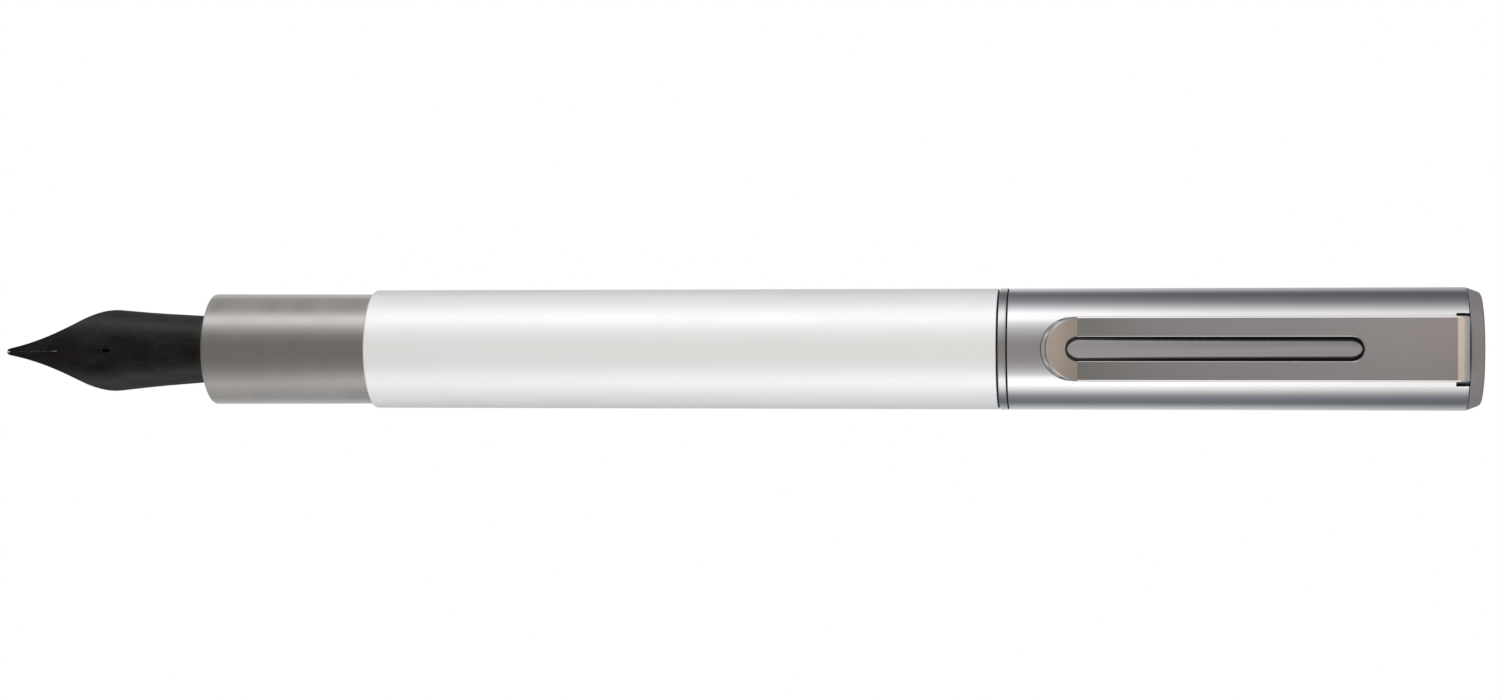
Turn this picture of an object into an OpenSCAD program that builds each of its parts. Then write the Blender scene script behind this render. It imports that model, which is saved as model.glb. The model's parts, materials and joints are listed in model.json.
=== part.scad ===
// Converter-filled fountain pen, shown with its cap posted on the barrel.
// The pen lies along X: nib towards -X, cap end towards +X, clip on top (+Z).
// The origin is on the pen's axis, halfway along the barrel.
// All lengths are in millimetres.

/* [Barrel] */
// Outer radius of the barrel
barrel_r = 6; // [5.95:0.01:6]
// Length of the painted barrel tube
barrel_l = 63.5; // [63.2:0.1:66]
// Bore radius of the barrel tube
barrel_bore_r = 5.25; // [5.2:0.01:5.3]

/* [Grip section] */
// Length of the metal grip, from its front edge to the barrel
grip_l = 17; // [16.6:0.1:17.2]
// Radius of the grip at its front edge
grip_front_r = 5.64; // [5.5:0.01:5.65]
// Radius of the grip where it meets the barrel
grip_rear_r = 5.58; // [5.5:0.01:5.65]

/* [Nib] */
// Length of nib that stands out of the grip
nib_out = 22.5; // [21.5:0.1:22.6]
// Half width of the nib at its shoulders
nib_shoulder_w = 4.21; // [4:0.01:4.3]
// Thickness of the nib's sheet
nib_t = 0.3; // [0.2:0.05:0.35]
// Radius of the breather hole
breather_r = 0.45; // [0.35:0.05:0.6]
// Width of the slit
slit_w = 0.1; // [0.08:0.01:0.16]

/* [Cap] */
// Outer radius of the cap tube
cap_r = 6.02; // [6.01:0.01:6.05]
// Bore radius of the cap tube, which slides over grip and tenon
cap_bore_r = 5.7; // [5.7:0.01:5.72]
// Length of the cap tube
cap_l = 44.25; // [44.25:0.05:46]
// Length of the finial
finial_l = 1.5; // [1.4:0.02:2.4]

/* [Clip] */
// Width of the clip
clip_w = 6.3; // [6:0.1:6.4]
// Thickness of the clip's sheet
clip_t = 0.95; // [0.8:0.05:1]
// Angle at which the clip's free end turns up
clip_flare = 38; // [25:1:40]
// Width of the window along the clip
clip_slot_w = 2.35; // [2:0.05:2.6]
// Length of the window along the clip
clip_slot_l = 28.4; // [20:0.1:28.8]

/* [Posting tenon] */
// Radius of the tenon that the cap is posted on
tenon_r = 5.6; // [5.5:0.01:5.62]
// Length of the tenon behind its flange
tenon_l = 11.5; // [11.5:0.1:12.5]
// Radius of the flange that shows between barrel and cap
flange_r = 6.05; // [6.03:0.01:6.1]
// Width of that flange
flange_w = 1; // [0.8:0.05:1]

/* [Converter] */
// Number of flutes on the converter's knob
knob_flutes = 24; // [16:1:30]

/* [Hidden] */
$fn = 96;

// Stations along X, from the barrel's front rim
x_tenon = barrel_l + flange_w;
x_tenon_end = x_tenon + tenon_l;
x_cap = x_tenon + 0.08;
x_cap_end = x_cap + cap_l;
x_grip = -grip_l;
x_tip = x_grip - nib_out;

press_gap = 0.01;                      // gap left between pressed parts
barrel_plug_r = barrel_bore_r - press_gap;
cap_plug_r = cap_bore_r - 0.02;

// Section thread, cut in the barrel's insert and on the section's core
thread_pitch = 0.75;
thread_count = 9;

// ---------- helpers ----------
// Moves a piece from barrel-rim stations to the origin
module place() { translate([-barrel_l / 2, 0, 0]) children(); }

// A solid of revolution about X; points are [radius, x]
module lathe(points) { rotate([0, 90, 0]) rotate_extrude() polygon(points); }

// Cylinders along X and along Y
module rod(x0, x1, r) {
    translate([x0, 0, 0]) rotate([0, 90, 0]) cylinder(h = x1 - x0, r = r);
}
module cross_rod(x, z, y0, y1, r) {
    translate([x, y0, z]) rotate([-90, 0, 0]) cylinder(h = y1 - y0, r = r);
}

// [radius, x] points of ring-shaped thread crests between radii low and high
function rings(start, count, pitch, low, high) =
    [for (i = [0 : count - 1]) each [
        [low, start + i * pitch], [high, start + (i + 0.35) * pitch],
        [high, start + (i + 0.5) * pitch], [low, start + (i + 0.85) * pitch]]];
function backwards(list) = [for (i = [len(list) - 1 : -1 : 0]) list[i]];
// Closes a half outline with its mirror image in Y
function both_sides(half) = concat(half, backwards([for (p = half) [p[0], -p[1]]]));
// Cubic and quadratic Bezier points
function bezier3(a, b, c, d, t) =
    pow(1 - t, 3) * a + 3 * pow(1 - t, 2) * t * b + 3 * (1 - t) * t * t * c + t * t * t * d;
function bezier2(a, b, c, t) = pow(1 - t, 2) * a + 2 * (1 - t) * t * b + t * t * c;

// ---------- barrel ----------
groove_front = x_tenon + 5.0;          // groove for the friction ring
groove_w = 1.6;
tenon_bore_r = 4.6;

module barrel_tube() {
    color("white") place() lathe([
        [barrel_bore_r, 0.1], [barrel_bore_r + 0.08, 0],
        [barrel_r - 0.14, 0], [barrel_r - 0.04, 0.05], [barrel_r, 0.16],
        [barrel_r, barrel_l - 0.1], [barrel_r - 0.1, barrel_l], [barrel_bore_r, barrel_l]]);
}

// Threaded ring inside the barrel's front end
module thread_insert() {
    front = 1.2;
    rear = 9.2;
    thread_r = 4.78;
    color("goldenrod") place() lathe(concat(
        [[barrel_plug_r, front], [barrel_plug_r, rear], [thread_r, rear]],
        backwards(rings(front + 0.5, thread_count, thread_pitch, thread_r, 5.02)),
        [[thread_r, front]]));
}

module posting_tenon() {
    groove_r = 5.15;
    color("silver") place() lathe([
        // plug inside the barrel
        [tenon_bore_r, barrel_l - 6], [barrel_plug_r - 0.2, barrel_l - 6],
        [barrel_plug_r, barrel_l - 5.8], [barrel_plug_r, barrel_l + 0.01],
        // flange, with a slight crown that is highest halfway across
        [flange_r - 0.13, barrel_l + 0.01], [flange_r - 0.03, barrel_l + 0.12],
        [flange_r - 0.01, barrel_l + 0.25], [flange_r, barrel_l + flange_w / 2],
        [flange_r - 0.01, x_tenon - 0.25], [flange_r - 0.03, x_tenon - 0.12],
        [flange_r - 0.13, x_tenon],
        // tenon and its groove
        [tenon_r - 0.1, x_tenon], [tenon_r - 0.1, x_tenon + 0.5], [tenon_r, x_tenon + 0.7],
        [tenon_r, groove_front], [groove_r, groove_front],
        [groove_r, groove_front + groove_w], [tenon_r, groove_front + groove_w],
        // closed rear end
        [tenon_r, x_tenon_end - 1.0], [tenon_r - 0.2, x_tenon_end - 0.35],
        [tenon_r - 0.6, x_tenon_end], [0, x_tenon_end],
        [0, x_tenon_end - 1.2], [tenon_bore_r, x_tenon_end - 1.2]]);
}

module tenon_friction_ring() {
    front = groove_front + 0.04;
    rear = groove_front + groove_w - 0.04;
    inner_r = 5.16;
    color("dimgray") place() lathe([
        [inner_r, front], [tenon_r - 0.04, front], [tenon_r + 0.05, groove_front + 0.3],
        [cap_plug_r, groove_front + 0.65], [cap_plug_r, groove_front + 0.95],
        [tenon_r + 0.05, groove_front + 1.3], [tenon_r - 0.04, rear], [inner_r, rear]]);
}

// ---------- writing section ----------
section_rear = -0.02;                  // rear face of grip and core shoulder
housing_rear = -10.5;                  // where the core meets the nib housing

module section_o_ring() {
    ring_x = 0.62;
    ring_r = 4.835;
    cord_r = 0.395;
    color("black") place() translate([ring_x, 0, 0]) rotate([0, 90, 0])
        rotate_extrude() translate([ring_r, 0]) circle(r = cord_r, $fn = 32);
}

module grip_sleeve() {
    mouth_r = 3.78;
    mouth_l = 1.5;
    bore_r = 4.62;
    color("gray") place() lathe([
        [mouth_r, x_grip], [grip_front_r - 0.16, x_grip],
        [grip_front_r - 0.05, x_grip + 0.05], [grip_front_r, x_grip + 0.2],
        [grip_rear_r, -0.12], [grip_rear_r - 0.08, section_rear],
        [bore_r, section_rear], [bore_r, x_grip + mouth_l], [mouth_r, x_grip + mouth_l]]);
}

// Inner tube of the grip, with the thread that enters the barrel
module section_core() {
    core_r = 4.6;
    thread_r = 4.42;
    thread_start = 1.6;
    color([0.08, 0.08, 0.08]) place() lathe(concat(
        [[4.15, housing_rear], [core_r, housing_rear], [core_r, section_rear],
         [thread_r, section_rear], [thread_r, thread_start]],
        rings(thread_start, thread_count, thread_pitch, thread_r, 4.7),
        [[thread_r, 8.5], [4.2, 8.7], [3.85, 8.7], [3.85, -5.1], [4.15, -5.1]]));
}

// Holds nib and feed, and carries the feed tube at its rear
module nib_housing() {
    bore_r = 3.5;
    mouth_r = 3.75;
    body_r = 4.59;
    neck_r = 4.13;
    tube_r = 1.4;
    tube_bore_r = 0.75;
    color([0.1, 0.1, 0.1]) place() difference() {
        lathe([
            [bore_r, x_grip + 0.03], [mouth_r, x_grip + 0.03], [mouth_r, x_grip + 1.52],
            [body_r, x_grip + 1.52], [body_r, housing_rear - 0.02],
            [neck_r, housing_rear - 0.02], [neck_r, -5.2],
            [tube_r, -5.2], [tube_r, -0.6], [1.15, 0.6],
            [tube_bore_r, 0.6], [tube_bore_r, -6.4], [bore_r, -6.4]]);
        // the feed tube's mouth is cut on the slant
        translate([0.6, -3, 0]) rotate([0, 38, 0]) cube([3, 6, 3]);
    }
}

// ---------- nib and feed ----------
// Nib shell: a half tube in the grip, then a cone whose top line slopes down to the tip
nib_tube_r = 3.47;
cone_rear = x_grip - 1;
cone_tip_r = 6.9;                      // cone radius below the tip
nib_tip_z = 0.72;                      // height of the top line at the tip
cone_run = cone_rear - x_tip;
cone_drop = cone_tip_r - nib_tip_z;    // fall of the cone's axis towards the tip
cone_angle = atan2(cone_drop, cone_run);
cone_l = sqrt(cone_run * cone_run + cone_drop * cone_drop);
breather_x = x_tip + 11.3;
nib_rear = -6.6;
feed_rear = -6.7;

// The nib's cone, grown or shrunk by grow and run on by over at its narrow rear end
module nib_cone(grow, over = 0) {
    slope = (cone_tip_r - nib_tube_r) / cone_l;
    past_tip = 2;
    translate([cone_rear, 0, 0]) rotate([0, -90 - cone_angle, 0]) translate([0, 0, -over])
        cylinder(h = cone_l + over + past_tip,
                 r1 = (nib_tube_r - slope * over) * cos(cone_angle) + grow,
                 r2 = (cone_tip_r + past_tip * slope) * cos(cone_angle) + grow);
}

// Half outline of the nib in plan, tip to heel, as [x, y]
flank_end = [x_tip + 8.1, nib_shoulder_w - 1.04];
nib_edge = concat(
    [for (i = [0 : 10])
        bezier3([x_tip + 0.52, 0.37], [x_tip + 3.4, 0.93], [x_tip + 5.7, 1.87], flank_end, i / 10)],
    [for (i = [1 : 8])
        bezier3(flank_end, [x_tip + 10.8, nib_shoulder_w + 0.41],
                [x_tip + 12, nib_shoulder_w - 0.07], [x_tip + 13.4, nib_shoulder_w - 0.15], i / 8)],
    [[x_tip + 17.4, 3.71], [x_grip - 1.2, 3.44], [x_grip + 0.8, 3.6], [nib_rear, 3.6]]);

module nib() {
    color([0.13, 0.12, 0.12]) place() difference() {
        intersection() {
            difference() {
                union() {
                    difference() {
                        rod(cone_rear - 0.05, nib_rear, nib_tube_r);
                        translate([cone_rear - 1, -5, -8]) cube([20, 10, 8.15]);
                    }
                    intersection() {
                        nib_cone(0);
                        translate([x_tip - 1, -6, -2.2]) cube([cone_run + 1, 12, 8]);
                    }
                }
                rod(cone_rear - 0.6, nib_rear + 0.6, nib_tube_r - nib_t);
                nib_cone(-nib_t, 2);
            }
            translate([0, 0, -4]) linear_extrude(9) polygon(both_sides(nib_edge));
        }
        // breather hole and slit
        translate([breather_x, 0, -3]) cylinder(h = 9, r = breather_r);
        translate([x_tip - 1, -slit_w / 2, -3]) cube([breather_x - x_tip + 1, slit_w, 9]);
    }
}

// Front part of a ball at the nib's tip, split by a narrower slit
module nib_tipping() {
    ball_r = 0.37;
    tip_slit_w = slit_w * 0.6;
    color([0.3, 0.3, 0.3]) place() difference() {
        translate([x_tip + ball_r, 0, nib_tip_z - 0.3]) sphere(r = ball_r, $fn = 48);
        translate([x_tip + 0.5, -2, -2]) cube([3, 4, 4]);
        translate([x_tip - 1, -tip_slit_w / 2, -2]) cube([3, tip_slit_w, 4]);
    }
}

// Feed: a plug under the nib with an ink channel on top, comb fins and a beak
// that tapers to the tip
module feed() {
    // side outline as [x, z]
    side = [
        [feed_rear, -nib_tube_r], [x_grip, -nib_tube_r], [x_grip - 1.2, -3.3],
        [x_tip + 13.5, -3.1], [x_tip + 10, -2.45], [x_tip + 7.5, -1.45],
        [x_tip + 6, -0.55], [x_tip + 5.4, 0.1],
        [x_tip + 5.4, nib_tube_r], [feed_rear, nib_tube_r]];
    // half plan outline as [x, y]
    plan = [
        [feed_rear, 3.48], [x_grip - 1.2, 3.3], [x_tip + 17, 3.12], [x_tip + 13.5, 2.95],
        [x_tip + 10, 2.45], [x_tip + 7.5, 1.65], [x_tip + 6, 1.0], [x_tip + 5.4, 0.55]];
    under_nib = -nib_t - 0.05;
    channel_w = 0.32;
    slot_count = 13;
    slot_pitch = 0.74;
    slot_w = 0.34;
    spine_r = 1.75;
    color([0.05, 0.05, 0.05]) place() difference() {
        intersection() {
            translate([0, 5, 0]) rotate([90, 0, 0]) linear_extrude(10) polygon(side);
            translate([0, 0, -5]) linear_extrude(10) polygon(both_sides(plan));
            // full radius below the axis, inside the nib above it
            union() {
                difference() {
                    rod(x_tip, feed_rear, nib_tube_r);
                    translate([x_tip - 1, -5, 0]) cube([cone_run + 20, 10, 5]);
                }
                rod(cone_rear - 0.05, feed_rear, nib_tube_r - nib_t - 0.04);
                intersection() {
                    rod(x_tip, cone_rear, 3.2);
                    nib_cone(under_nib, 0.5);
                }
            }
            union() {
                rod(cone_rear, -6, 3.6);
                intersection() {
                    translate([x_tip, -5, -5]) cube([cone_run, 10, 10]);
                    nib_cone(under_nib, 0.5);
                }
            }
        }
        // ink channel
        translate([x_tip + 4, -channel_w / 2, 0.6]) cube([35, channel_w, 4]);
        // comb slots between the fins, around a central spine
        for (i = [0 : slot_count - 1])
            translate([x_grip - 1.6 - i * slot_pitch, 0, 0]) difference() {
                translate([-slot_w, -4, -4]) cube([slot_w, 8, 4.9]);
                rod(-1, 1, spine_r);
            }
    }
}

// ---------- converter ----------
socket_front = -4.6;
reservoir_front = 1.0;
reservoir_rear = 35;
reservoir_r = 3.4;
reservoir_bore_r = 2.75;
sleeve_front = 31;
sleeve_rear = 55;
knob_rear = 68.2;
rod_rear = 67;
seal_front = 28.5;
rod_r = 1.75;                          // over the rod's thread
rod_flat_z = 1.28;                     // half height across the rod's flats
bush_gap = 0.05;                       // between rod and guide bush
nut_bore_r = 2.1;                      // rear bore of drive nut, and knob bore
nut_rear = sleeve_rear + 6;

module converter_socket() {
    tube_bore_r = 1.43;
    socket_r = 3.62;
    spigot_r = 2.74;
    shoulder = reservoir_front - 0.01;
    color("dimgray") place() lathe([
        [tube_bore_r, socket_front + 0.3], [1.75, socket_front], [3.3, socket_front],
        [socket_r, socket_front + 0.35], [socket_r, shoulder], [spigot_r, shoulder],
        [spigot_r, reservoir_front + 1.7], [2.5, reservoir_front + 2], [0.9, reservoir_front + 2],
        [0.9, socket_front + 5.5], [tube_bore_r, socket_front + 5.3]]);
}

module converter_reservoir() {
    color([0.85, 0.9, 0.95, 0.35]) place() lathe([
        [reservoir_bore_r, reservoir_front], [reservoir_r, reservoir_front],
        [reservoir_r, reservoir_rear], [reservoir_bore_r, reservoir_rear]]);
}

// Sleeve with a shallow groove near its front and a lip at its rear
module converter_sleeve() {
    sleeve_r = 3.74;
    groove_r = 3.66;
    bore_r = 3.41;
    lip_r = 3.0;
    color("silver") place() lathe([
        [bore_r, sleeve_front], [groove_r, sleeve_front], [sleeve_r, sleeve_front + 0.1],
        [sleeve_r, sleeve_front + 1.6], [groove_r, sleeve_front + 1.7],
        [groove_r, sleeve_front + 2.1], [sleeve_r, sleeve_front + 2.2],
        [sleeve_r, sleeve_rear - 0.15], [3.6, sleeve_rear], [lip_r, sleeve_rear],
        [lip_r, sleeve_rear - 0.6], [bore_r, sleeve_rear - 0.6]]);
}

// Bush whose flat-sided hole fits the piston rod
module converter_guide_bush() {
    half_z = rod_flat_z + bush_gap;
    color([0.12, 0.12, 0.12]) place() difference() {
        rod(reservoir_rear + 0.1, reservoir_rear + 3.0, reservoir_r);
        intersection() {
            rod(reservoir_rear - 1, reservoir_rear + 4, rod_r + bush_gap);
            translate([reservoir_rear - 1, -3, -half_z]) cube([5, 6, 2 * half_z]);
        }
    }
}

// Tube round the piston rod, from the guide bush back into the knob
module converter_drive_nut() {
    front = reservoir_rear + 3.1;
    body_r = 3.38;
    rod_bore_r = rod_r + 0.07;
    color("gainsboro") place() lathe([
        [rod_bore_r, front], [body_r, front], [body_r, sleeve_rear - 0.7],
        [2.9, sleeve_rear - 0.7], [2.9, sleeve_rear + 0.18], [2.6, sleeve_rear + 0.18],
        [2.6, nut_rear], [nut_bore_r, nut_rear],
        [nut_bore_r, reservoir_rear + 7.2], [rod_bore_r, reservoir_rear + 7]]);
}

module converter_knob() {
    knob_r = 3.5;
    mouth_r = 2.62;
    color([0.07, 0.07, 0.07]) place() difference() {
        lathe([
            [mouth_r, sleeve_rear + 0.2], [2.95, sleeve_rear + 0.2], [knob_r, sleeve_rear + 0.3],
            [knob_r, knob_rear - 0.5], [3.1, knob_rear], [0, knob_rear],
            [0, rod_rear + 0.4], [nut_bore_r, rod_rear + 0.4],
            [nut_bore_r, nut_rear + 0.1], [mouth_r, nut_rear + 0.1]]);
        for (i = [0 : knob_flutes - 1])
            rotate([i * 360 / knob_flutes, 0, 0]) translate([0, 0, knob_r + 0.12])
                rod(sleeve_rear + 1.4, knob_rear + 1, 0.26);
    }
}

module piston_rod() {
    core_r = 1.5;
    head_r = 1.55;
    neck_r = 1.1;
    cut = 3;
    color([0.88, 0.88, 0.86]) place() difference() {
        lathe(concat(
            [[0, seal_front + 0.7], [1.2, seal_front + 0.7], [head_r, seal_front + 1.1],
             [head_r, seal_front + 1.5], [neck_r, seal_front + 1.6], [neck_r, seal_front + 3.5],
             [core_r, seal_front + 3.5]],
            rings(seal_front + 4.4, 22, 1.55, core_r, rod_r),
            [[core_r, rod_rear - 0.2], [1.3, rod_rear], [0, rod_rear]]));
        // flats below and above
        for (z = [-rod_flat_z - cut, rod_flat_z])
            translate([seal_front + 3.5, -3, z]) cube([60, 6, cut]);
    }
}

// Seal with two lips, moulded round the rod's head; rows are [radius, distance from its front]
module piston_seal() {
    profile = [
        [1.12, 3.45], [1.12, 1.62], [1.57, 1.52], [1.57, 1.08], [1.22, 0.68], [0, 0.68],
        [0, 0], [2.2, 0], [2.6, 0.15], [2.73, 0.5], [2.73, 0.8], [2.5, 1.2],
        [2.5, 2.3], [2.73, 2.7], [2.73, 3.0], [2.6, 3.3], [2.2, 3.45]];
    color([0.2, 0.2, 0.22]) place() lathe([for (p = profile) [p[0], seal_front + p[1]]]);
}

// ---------- cap ----------
// Clip pivot
pivot_x = x_cap_end - 1.3;
pivot_z = 4.0;
pin_r = 0.5;

module cap_tube() {
    color("lightgray") place() difference() {
        lathe([
            [cap_bore_r, x_cap + 0.15], [cap_bore_r + 0.1, x_cap],
            [cap_r - 0.12, x_cap], [cap_r - 0.03, x_cap + 0.05], [cap_r, x_cap + 0.14],
            [cap_r, x_cap_end - 0.08], [cap_r - 0.06, x_cap_end], [cap_bore_r, x_cap_end]]);
        // notch that the clip's neck passes through
        translate([x_cap_end - 1.25, -clip_w / 2 - 0.43, 2]) cube([3, clip_w + 0.7, 6]);
    }
}

module inner_cap() {
    front = x_cap + grip_l + 0.35;
    rear = x_cap_end - 3.0;
    bore_r = 4.75;
    screw_hole_r = 1.05;
    color([0.1, 0.1, 0.11]) place() lathe([
        [bore_r, front + 0.5], [5.1, front], [5.5, front], [cap_plug_r, front + 0.25],
        [cap_plug_r, rear], [screw_hole_r, rear], [screw_hole_r, rear - 0.33],
        [2.02, rear - 1.3], [bore_r, rear - 1.3]]);
}

module clip_carrier() {
    front = x_cap_end - 2.9;
    rear = x_cap_end - 0.03;
    bore_r = 2.45;
    pocket_w = 4.64;
    color("darkgray") place() difference() {
        lathe([[bore_r, front], [cap_plug_r, front], [cap_plug_r, rear], [bore_r, rear]]);
        // pocket for the clip's tail and its spring
        translate([front + 0.57, -pocket_w / 2, pivot_z - 1.1]) cube([4, pocket_w, 5]);
        // room for the clip's neck above the ears
        translate([x_cap_end - 1.4, -5, pivot_z + 0.8]) cube([3, 10, 5]);
        cross_rod(pivot_x, pivot_z, -6, 6, pin_r + press_gap);
    }
}

module clip_pin() {
    half_l = 3.4;
    color("silver") place() cross_rod(pivot_x, pivot_z, -half_l, half_l, pin_r);
}

// Torsion spring: a coil round the pin, one leg up the carrier's wall and one
// up to the clip's neck
module clip_spring() {
    coil_r = 0.84;
    wire_r = 0.17;
    turns = 3.5;
    coil_w = 1.9;
    turn_steps = 16;
    wire_sides = 8;
    leg_wall = 1.2;
    leg_clip = 1.04;
    steps = turns * turn_steps;
    rows = steps + 2;
    // ring of points round the wire at a step of the coil, raised by up
    function wire_ring(i, up = 0) = [for (j = [0 : wire_sides - 1])
        let (a = 360 * i / turn_steps + 180, b = 360 * j / wire_sides,
             r = coil_r + wire_r * cos(b))
        [pivot_x + r * cos(a),
         -coil_w / 2 + coil_w / turns * i / turn_steps + wire_r * sin(b),
         pivot_z + r * sin(a) + up]];
    points = concat(wire_ring(0, leg_wall), [for (i = [0 : steps]) each wire_ring(i)],
        wire_ring(steps, leg_clip));
    sides = [for (i = [0 : rows - 1]) for (j = [0 : wire_sides - 1])
        let (next = (j + 1) % wire_sides, row = i * wire_sides, row_after = row + wire_sides)
        [row + j, row + next, row_after + next, row_after + j]];
    ends = [[for (j = [wire_sides - 1 : -1 : 0]) j],
            [for (j = [0 : wire_sides - 1]) rows * wire_sides + j]];
    color("silver") place()
        polyhedron(points = points, faces = concat(sides, ends), convexity = 6);
}

// Domed end disc with a hollow neck that takes the screw
module finial() {
    base = x_cap_end;
    top = x_cap_end + finial_l;
    neck_r = 2.42;
    bore_r = 0.97;
    color("gray") place() lathe([
        [0, top], [3.6, top - 0.02], [4.6, top - 0.035], [5.1, top - 0.055], [5.3, top - 0.09],
        [5.43, top - 0.16], [5.53, top - 0.27], [5.62, top - 0.45],
        [5.92, base + 0.25], [5.97, base + 0.1], [5.93, base + 0.01],
        [neck_r, base + 0.01], [neck_r, base - 2.4],
        [bore_r, base - 2.4], [bore_r, base + 0.6], [0, base + 0.6]]);
}

// Countersunk screw, its cross-slotted head towards the nib
module finial_screw() {
    front = x_cap_end - 4.26;
    shank_r = 0.95;
    color("silver") place() difference() {
        lathe([[0, front], [1.93, front], [shank_r, front + 0.95], [shank_r, x_cap_end + 0.3],
            [0.7, x_cap_end + 0.5], [0, x_cap_end + 0.5]]);
        for (a = [0, 90])
            rotate([a, 0, 0]) translate([front - 1, -1.1, -0.2]) cube([1.5, 2.2, 0.4]);
    }
}

// ---------- clip ----------
root_x = x_cap_end - 0.2;              // outer face of the neck
root_z = 7.95;
knee_x = x_cap + 6.87;                 // where the free end turns up
knee_z = cap_r + 0.04 + clip_t;
bend_r = 1.4;
flare_run = 2.95;                      // plan length of the turned-up end

// Top line of the blade, knee to bend, as [x, z]
function clip_top(t) =
    bezier2([knee_x, knee_z], [knee_x + 9, knee_z + 0.72], [root_x - bend_r, root_z], t);
// Point on the bend between blade and neck
function bend_point(r, a) = [root_x - bend_r + r * sin(a), root_z - bend_r + r * cos(a)];

module clip() {
    flare_cos = cos(clip_flare);
    tip = [knee_x - flare_run, knee_z + flare_run * tan(clip_flare)];
    neck_x = root_x - clip_t;
    neck_z = pivot_z + 1.15;
    side = concat(
        [tip],
        [for (i = [0 : 14]) clip_top(i / 15)],
        [for (a = [0 : 10 : 90]) bend_point(bend_r, a)],
        [[root_x, neck_z], [neck_x, neck_z]],
        [for (a = [90 : -15 : 0]) bend_point(bend_r - clip_t, a)],
        [for (i = [14 : -1 : 1]) clip_top(i / 15) - [0, clip_t]],
        [[knee_x - 0.28, knee_z - clip_t], tip + clip_t * [-sin(clip_flare), -flare_cos]]);
    nose_x = knee_x - flare_run + clip_w / 2 * flare_cos;
    lug_y = 1.35;
    lug_t = 0.85;
    window_x = knee_x - 1.09;
    window_r = clip_slot_w / 2;
    color("silver") place() difference() {
        union() {
            intersection() {
                translate([0, clip_w / 2, 0]) rotate([90, 0, 0])
                    linear_extrude(clip_w) polygon(side);
                // plan outline with its rounded free end
                union() {
                    translate([nose_x, -6, 0]) cube([60, 12, 20]);
                    translate([nose_x, 0, 0]) scale([flare_cos + 0.17, 1, 1])
                        cylinder(h = 20, r = clip_w / 2, $fn = 72);
                }
            }
            // tail: two lugs that turn on the pin
            for (y = [-lug_y - lug_t, lug_y]) translate([0, y, 0]) {
                cross_rod(pivot_x, pivot_z, 0, lug_t, 0.98);
                translate([neck_x, 0, pivot_z]) cube([clip_t, lug_t, 1.3]);
            }
        }
        cross_rod(pivot_x, pivot_z, -4, 4, pin_r + 0.03);
        // window with round ends
        for (x = [window_x + window_r, window_x + clip_slot_l - window_r])
            translate([x, 0, 5]) cylinder(h = 6, r = window_r);
        translate([window_x + window_r, -window_r, 5])
            cube([clip_slot_l - 2 * window_r, 2 * window_r, 6]);
    }
}

barrel_tube();
thread_insert();
posting_tenon();
tenon_friction_ring();
section_o_ring();
grip_sleeve();
section_core();
nib_housing();
feed();
nib();
nib_tipping();
converter_socket();
converter_reservoir();
converter_sleeve();
converter_guide_bush();
converter_knob();
converter_drive_nut();
piston_rod();
piston_seal();
cap_tube();
inner_cap();
clip_carrier();
finial();
finial_screw();
clip_pin();
clip_spring();
clip();
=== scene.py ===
"""A fountain pen lying along X: its nib points to -X, its cap is at +X and the clip is on top (+Z).

Lengths are in mm and stations run along X from the barrel's front rim, unless a comment says
otherwise. Front means towards the nib. Angles round the pen start at +Z and turn towards +Y.
"""
import bpy
import bmesh
import json
import math
import random
import numpy as np
from functools import partial
from math import pi, sin, cos, tan, asin, sqrt, hypot, radians
from mathutils import Vector, Matrix

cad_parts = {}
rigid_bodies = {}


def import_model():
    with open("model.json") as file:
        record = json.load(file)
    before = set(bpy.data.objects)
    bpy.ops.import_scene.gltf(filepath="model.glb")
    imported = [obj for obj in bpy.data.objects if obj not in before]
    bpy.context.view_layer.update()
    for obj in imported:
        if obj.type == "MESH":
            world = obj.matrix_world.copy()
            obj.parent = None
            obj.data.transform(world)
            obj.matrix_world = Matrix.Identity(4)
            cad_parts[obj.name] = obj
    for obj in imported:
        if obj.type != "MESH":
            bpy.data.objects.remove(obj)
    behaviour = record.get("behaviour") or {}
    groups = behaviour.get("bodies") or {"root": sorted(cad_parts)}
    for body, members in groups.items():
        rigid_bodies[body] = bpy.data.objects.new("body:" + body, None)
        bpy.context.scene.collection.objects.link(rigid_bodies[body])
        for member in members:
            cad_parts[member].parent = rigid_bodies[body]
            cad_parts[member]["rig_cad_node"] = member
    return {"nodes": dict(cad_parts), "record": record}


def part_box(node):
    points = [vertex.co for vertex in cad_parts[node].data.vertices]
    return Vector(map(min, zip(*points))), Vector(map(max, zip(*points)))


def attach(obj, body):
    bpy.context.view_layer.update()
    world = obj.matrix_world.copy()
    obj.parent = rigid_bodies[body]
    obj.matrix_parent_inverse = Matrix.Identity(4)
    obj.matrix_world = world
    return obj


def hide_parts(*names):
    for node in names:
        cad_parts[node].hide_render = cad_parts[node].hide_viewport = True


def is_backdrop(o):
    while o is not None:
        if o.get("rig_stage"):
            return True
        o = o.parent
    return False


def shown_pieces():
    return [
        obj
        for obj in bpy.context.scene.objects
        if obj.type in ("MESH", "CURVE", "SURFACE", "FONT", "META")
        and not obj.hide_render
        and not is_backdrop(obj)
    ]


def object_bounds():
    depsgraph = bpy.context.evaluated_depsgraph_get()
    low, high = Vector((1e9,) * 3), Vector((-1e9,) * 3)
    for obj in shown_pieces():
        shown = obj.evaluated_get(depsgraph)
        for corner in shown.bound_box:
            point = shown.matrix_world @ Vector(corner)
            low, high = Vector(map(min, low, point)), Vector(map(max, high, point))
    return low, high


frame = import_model()
cad_low, cad_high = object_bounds()
random.seed(7)
scene = bpy.context.scene


def box(node):
    """Low and high corner of a CAD node, in mm."""
    return [[value * 1000 for value in corner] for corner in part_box(node)]


ORIGIN_X = box("barrel_tube")[0][0]


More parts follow.
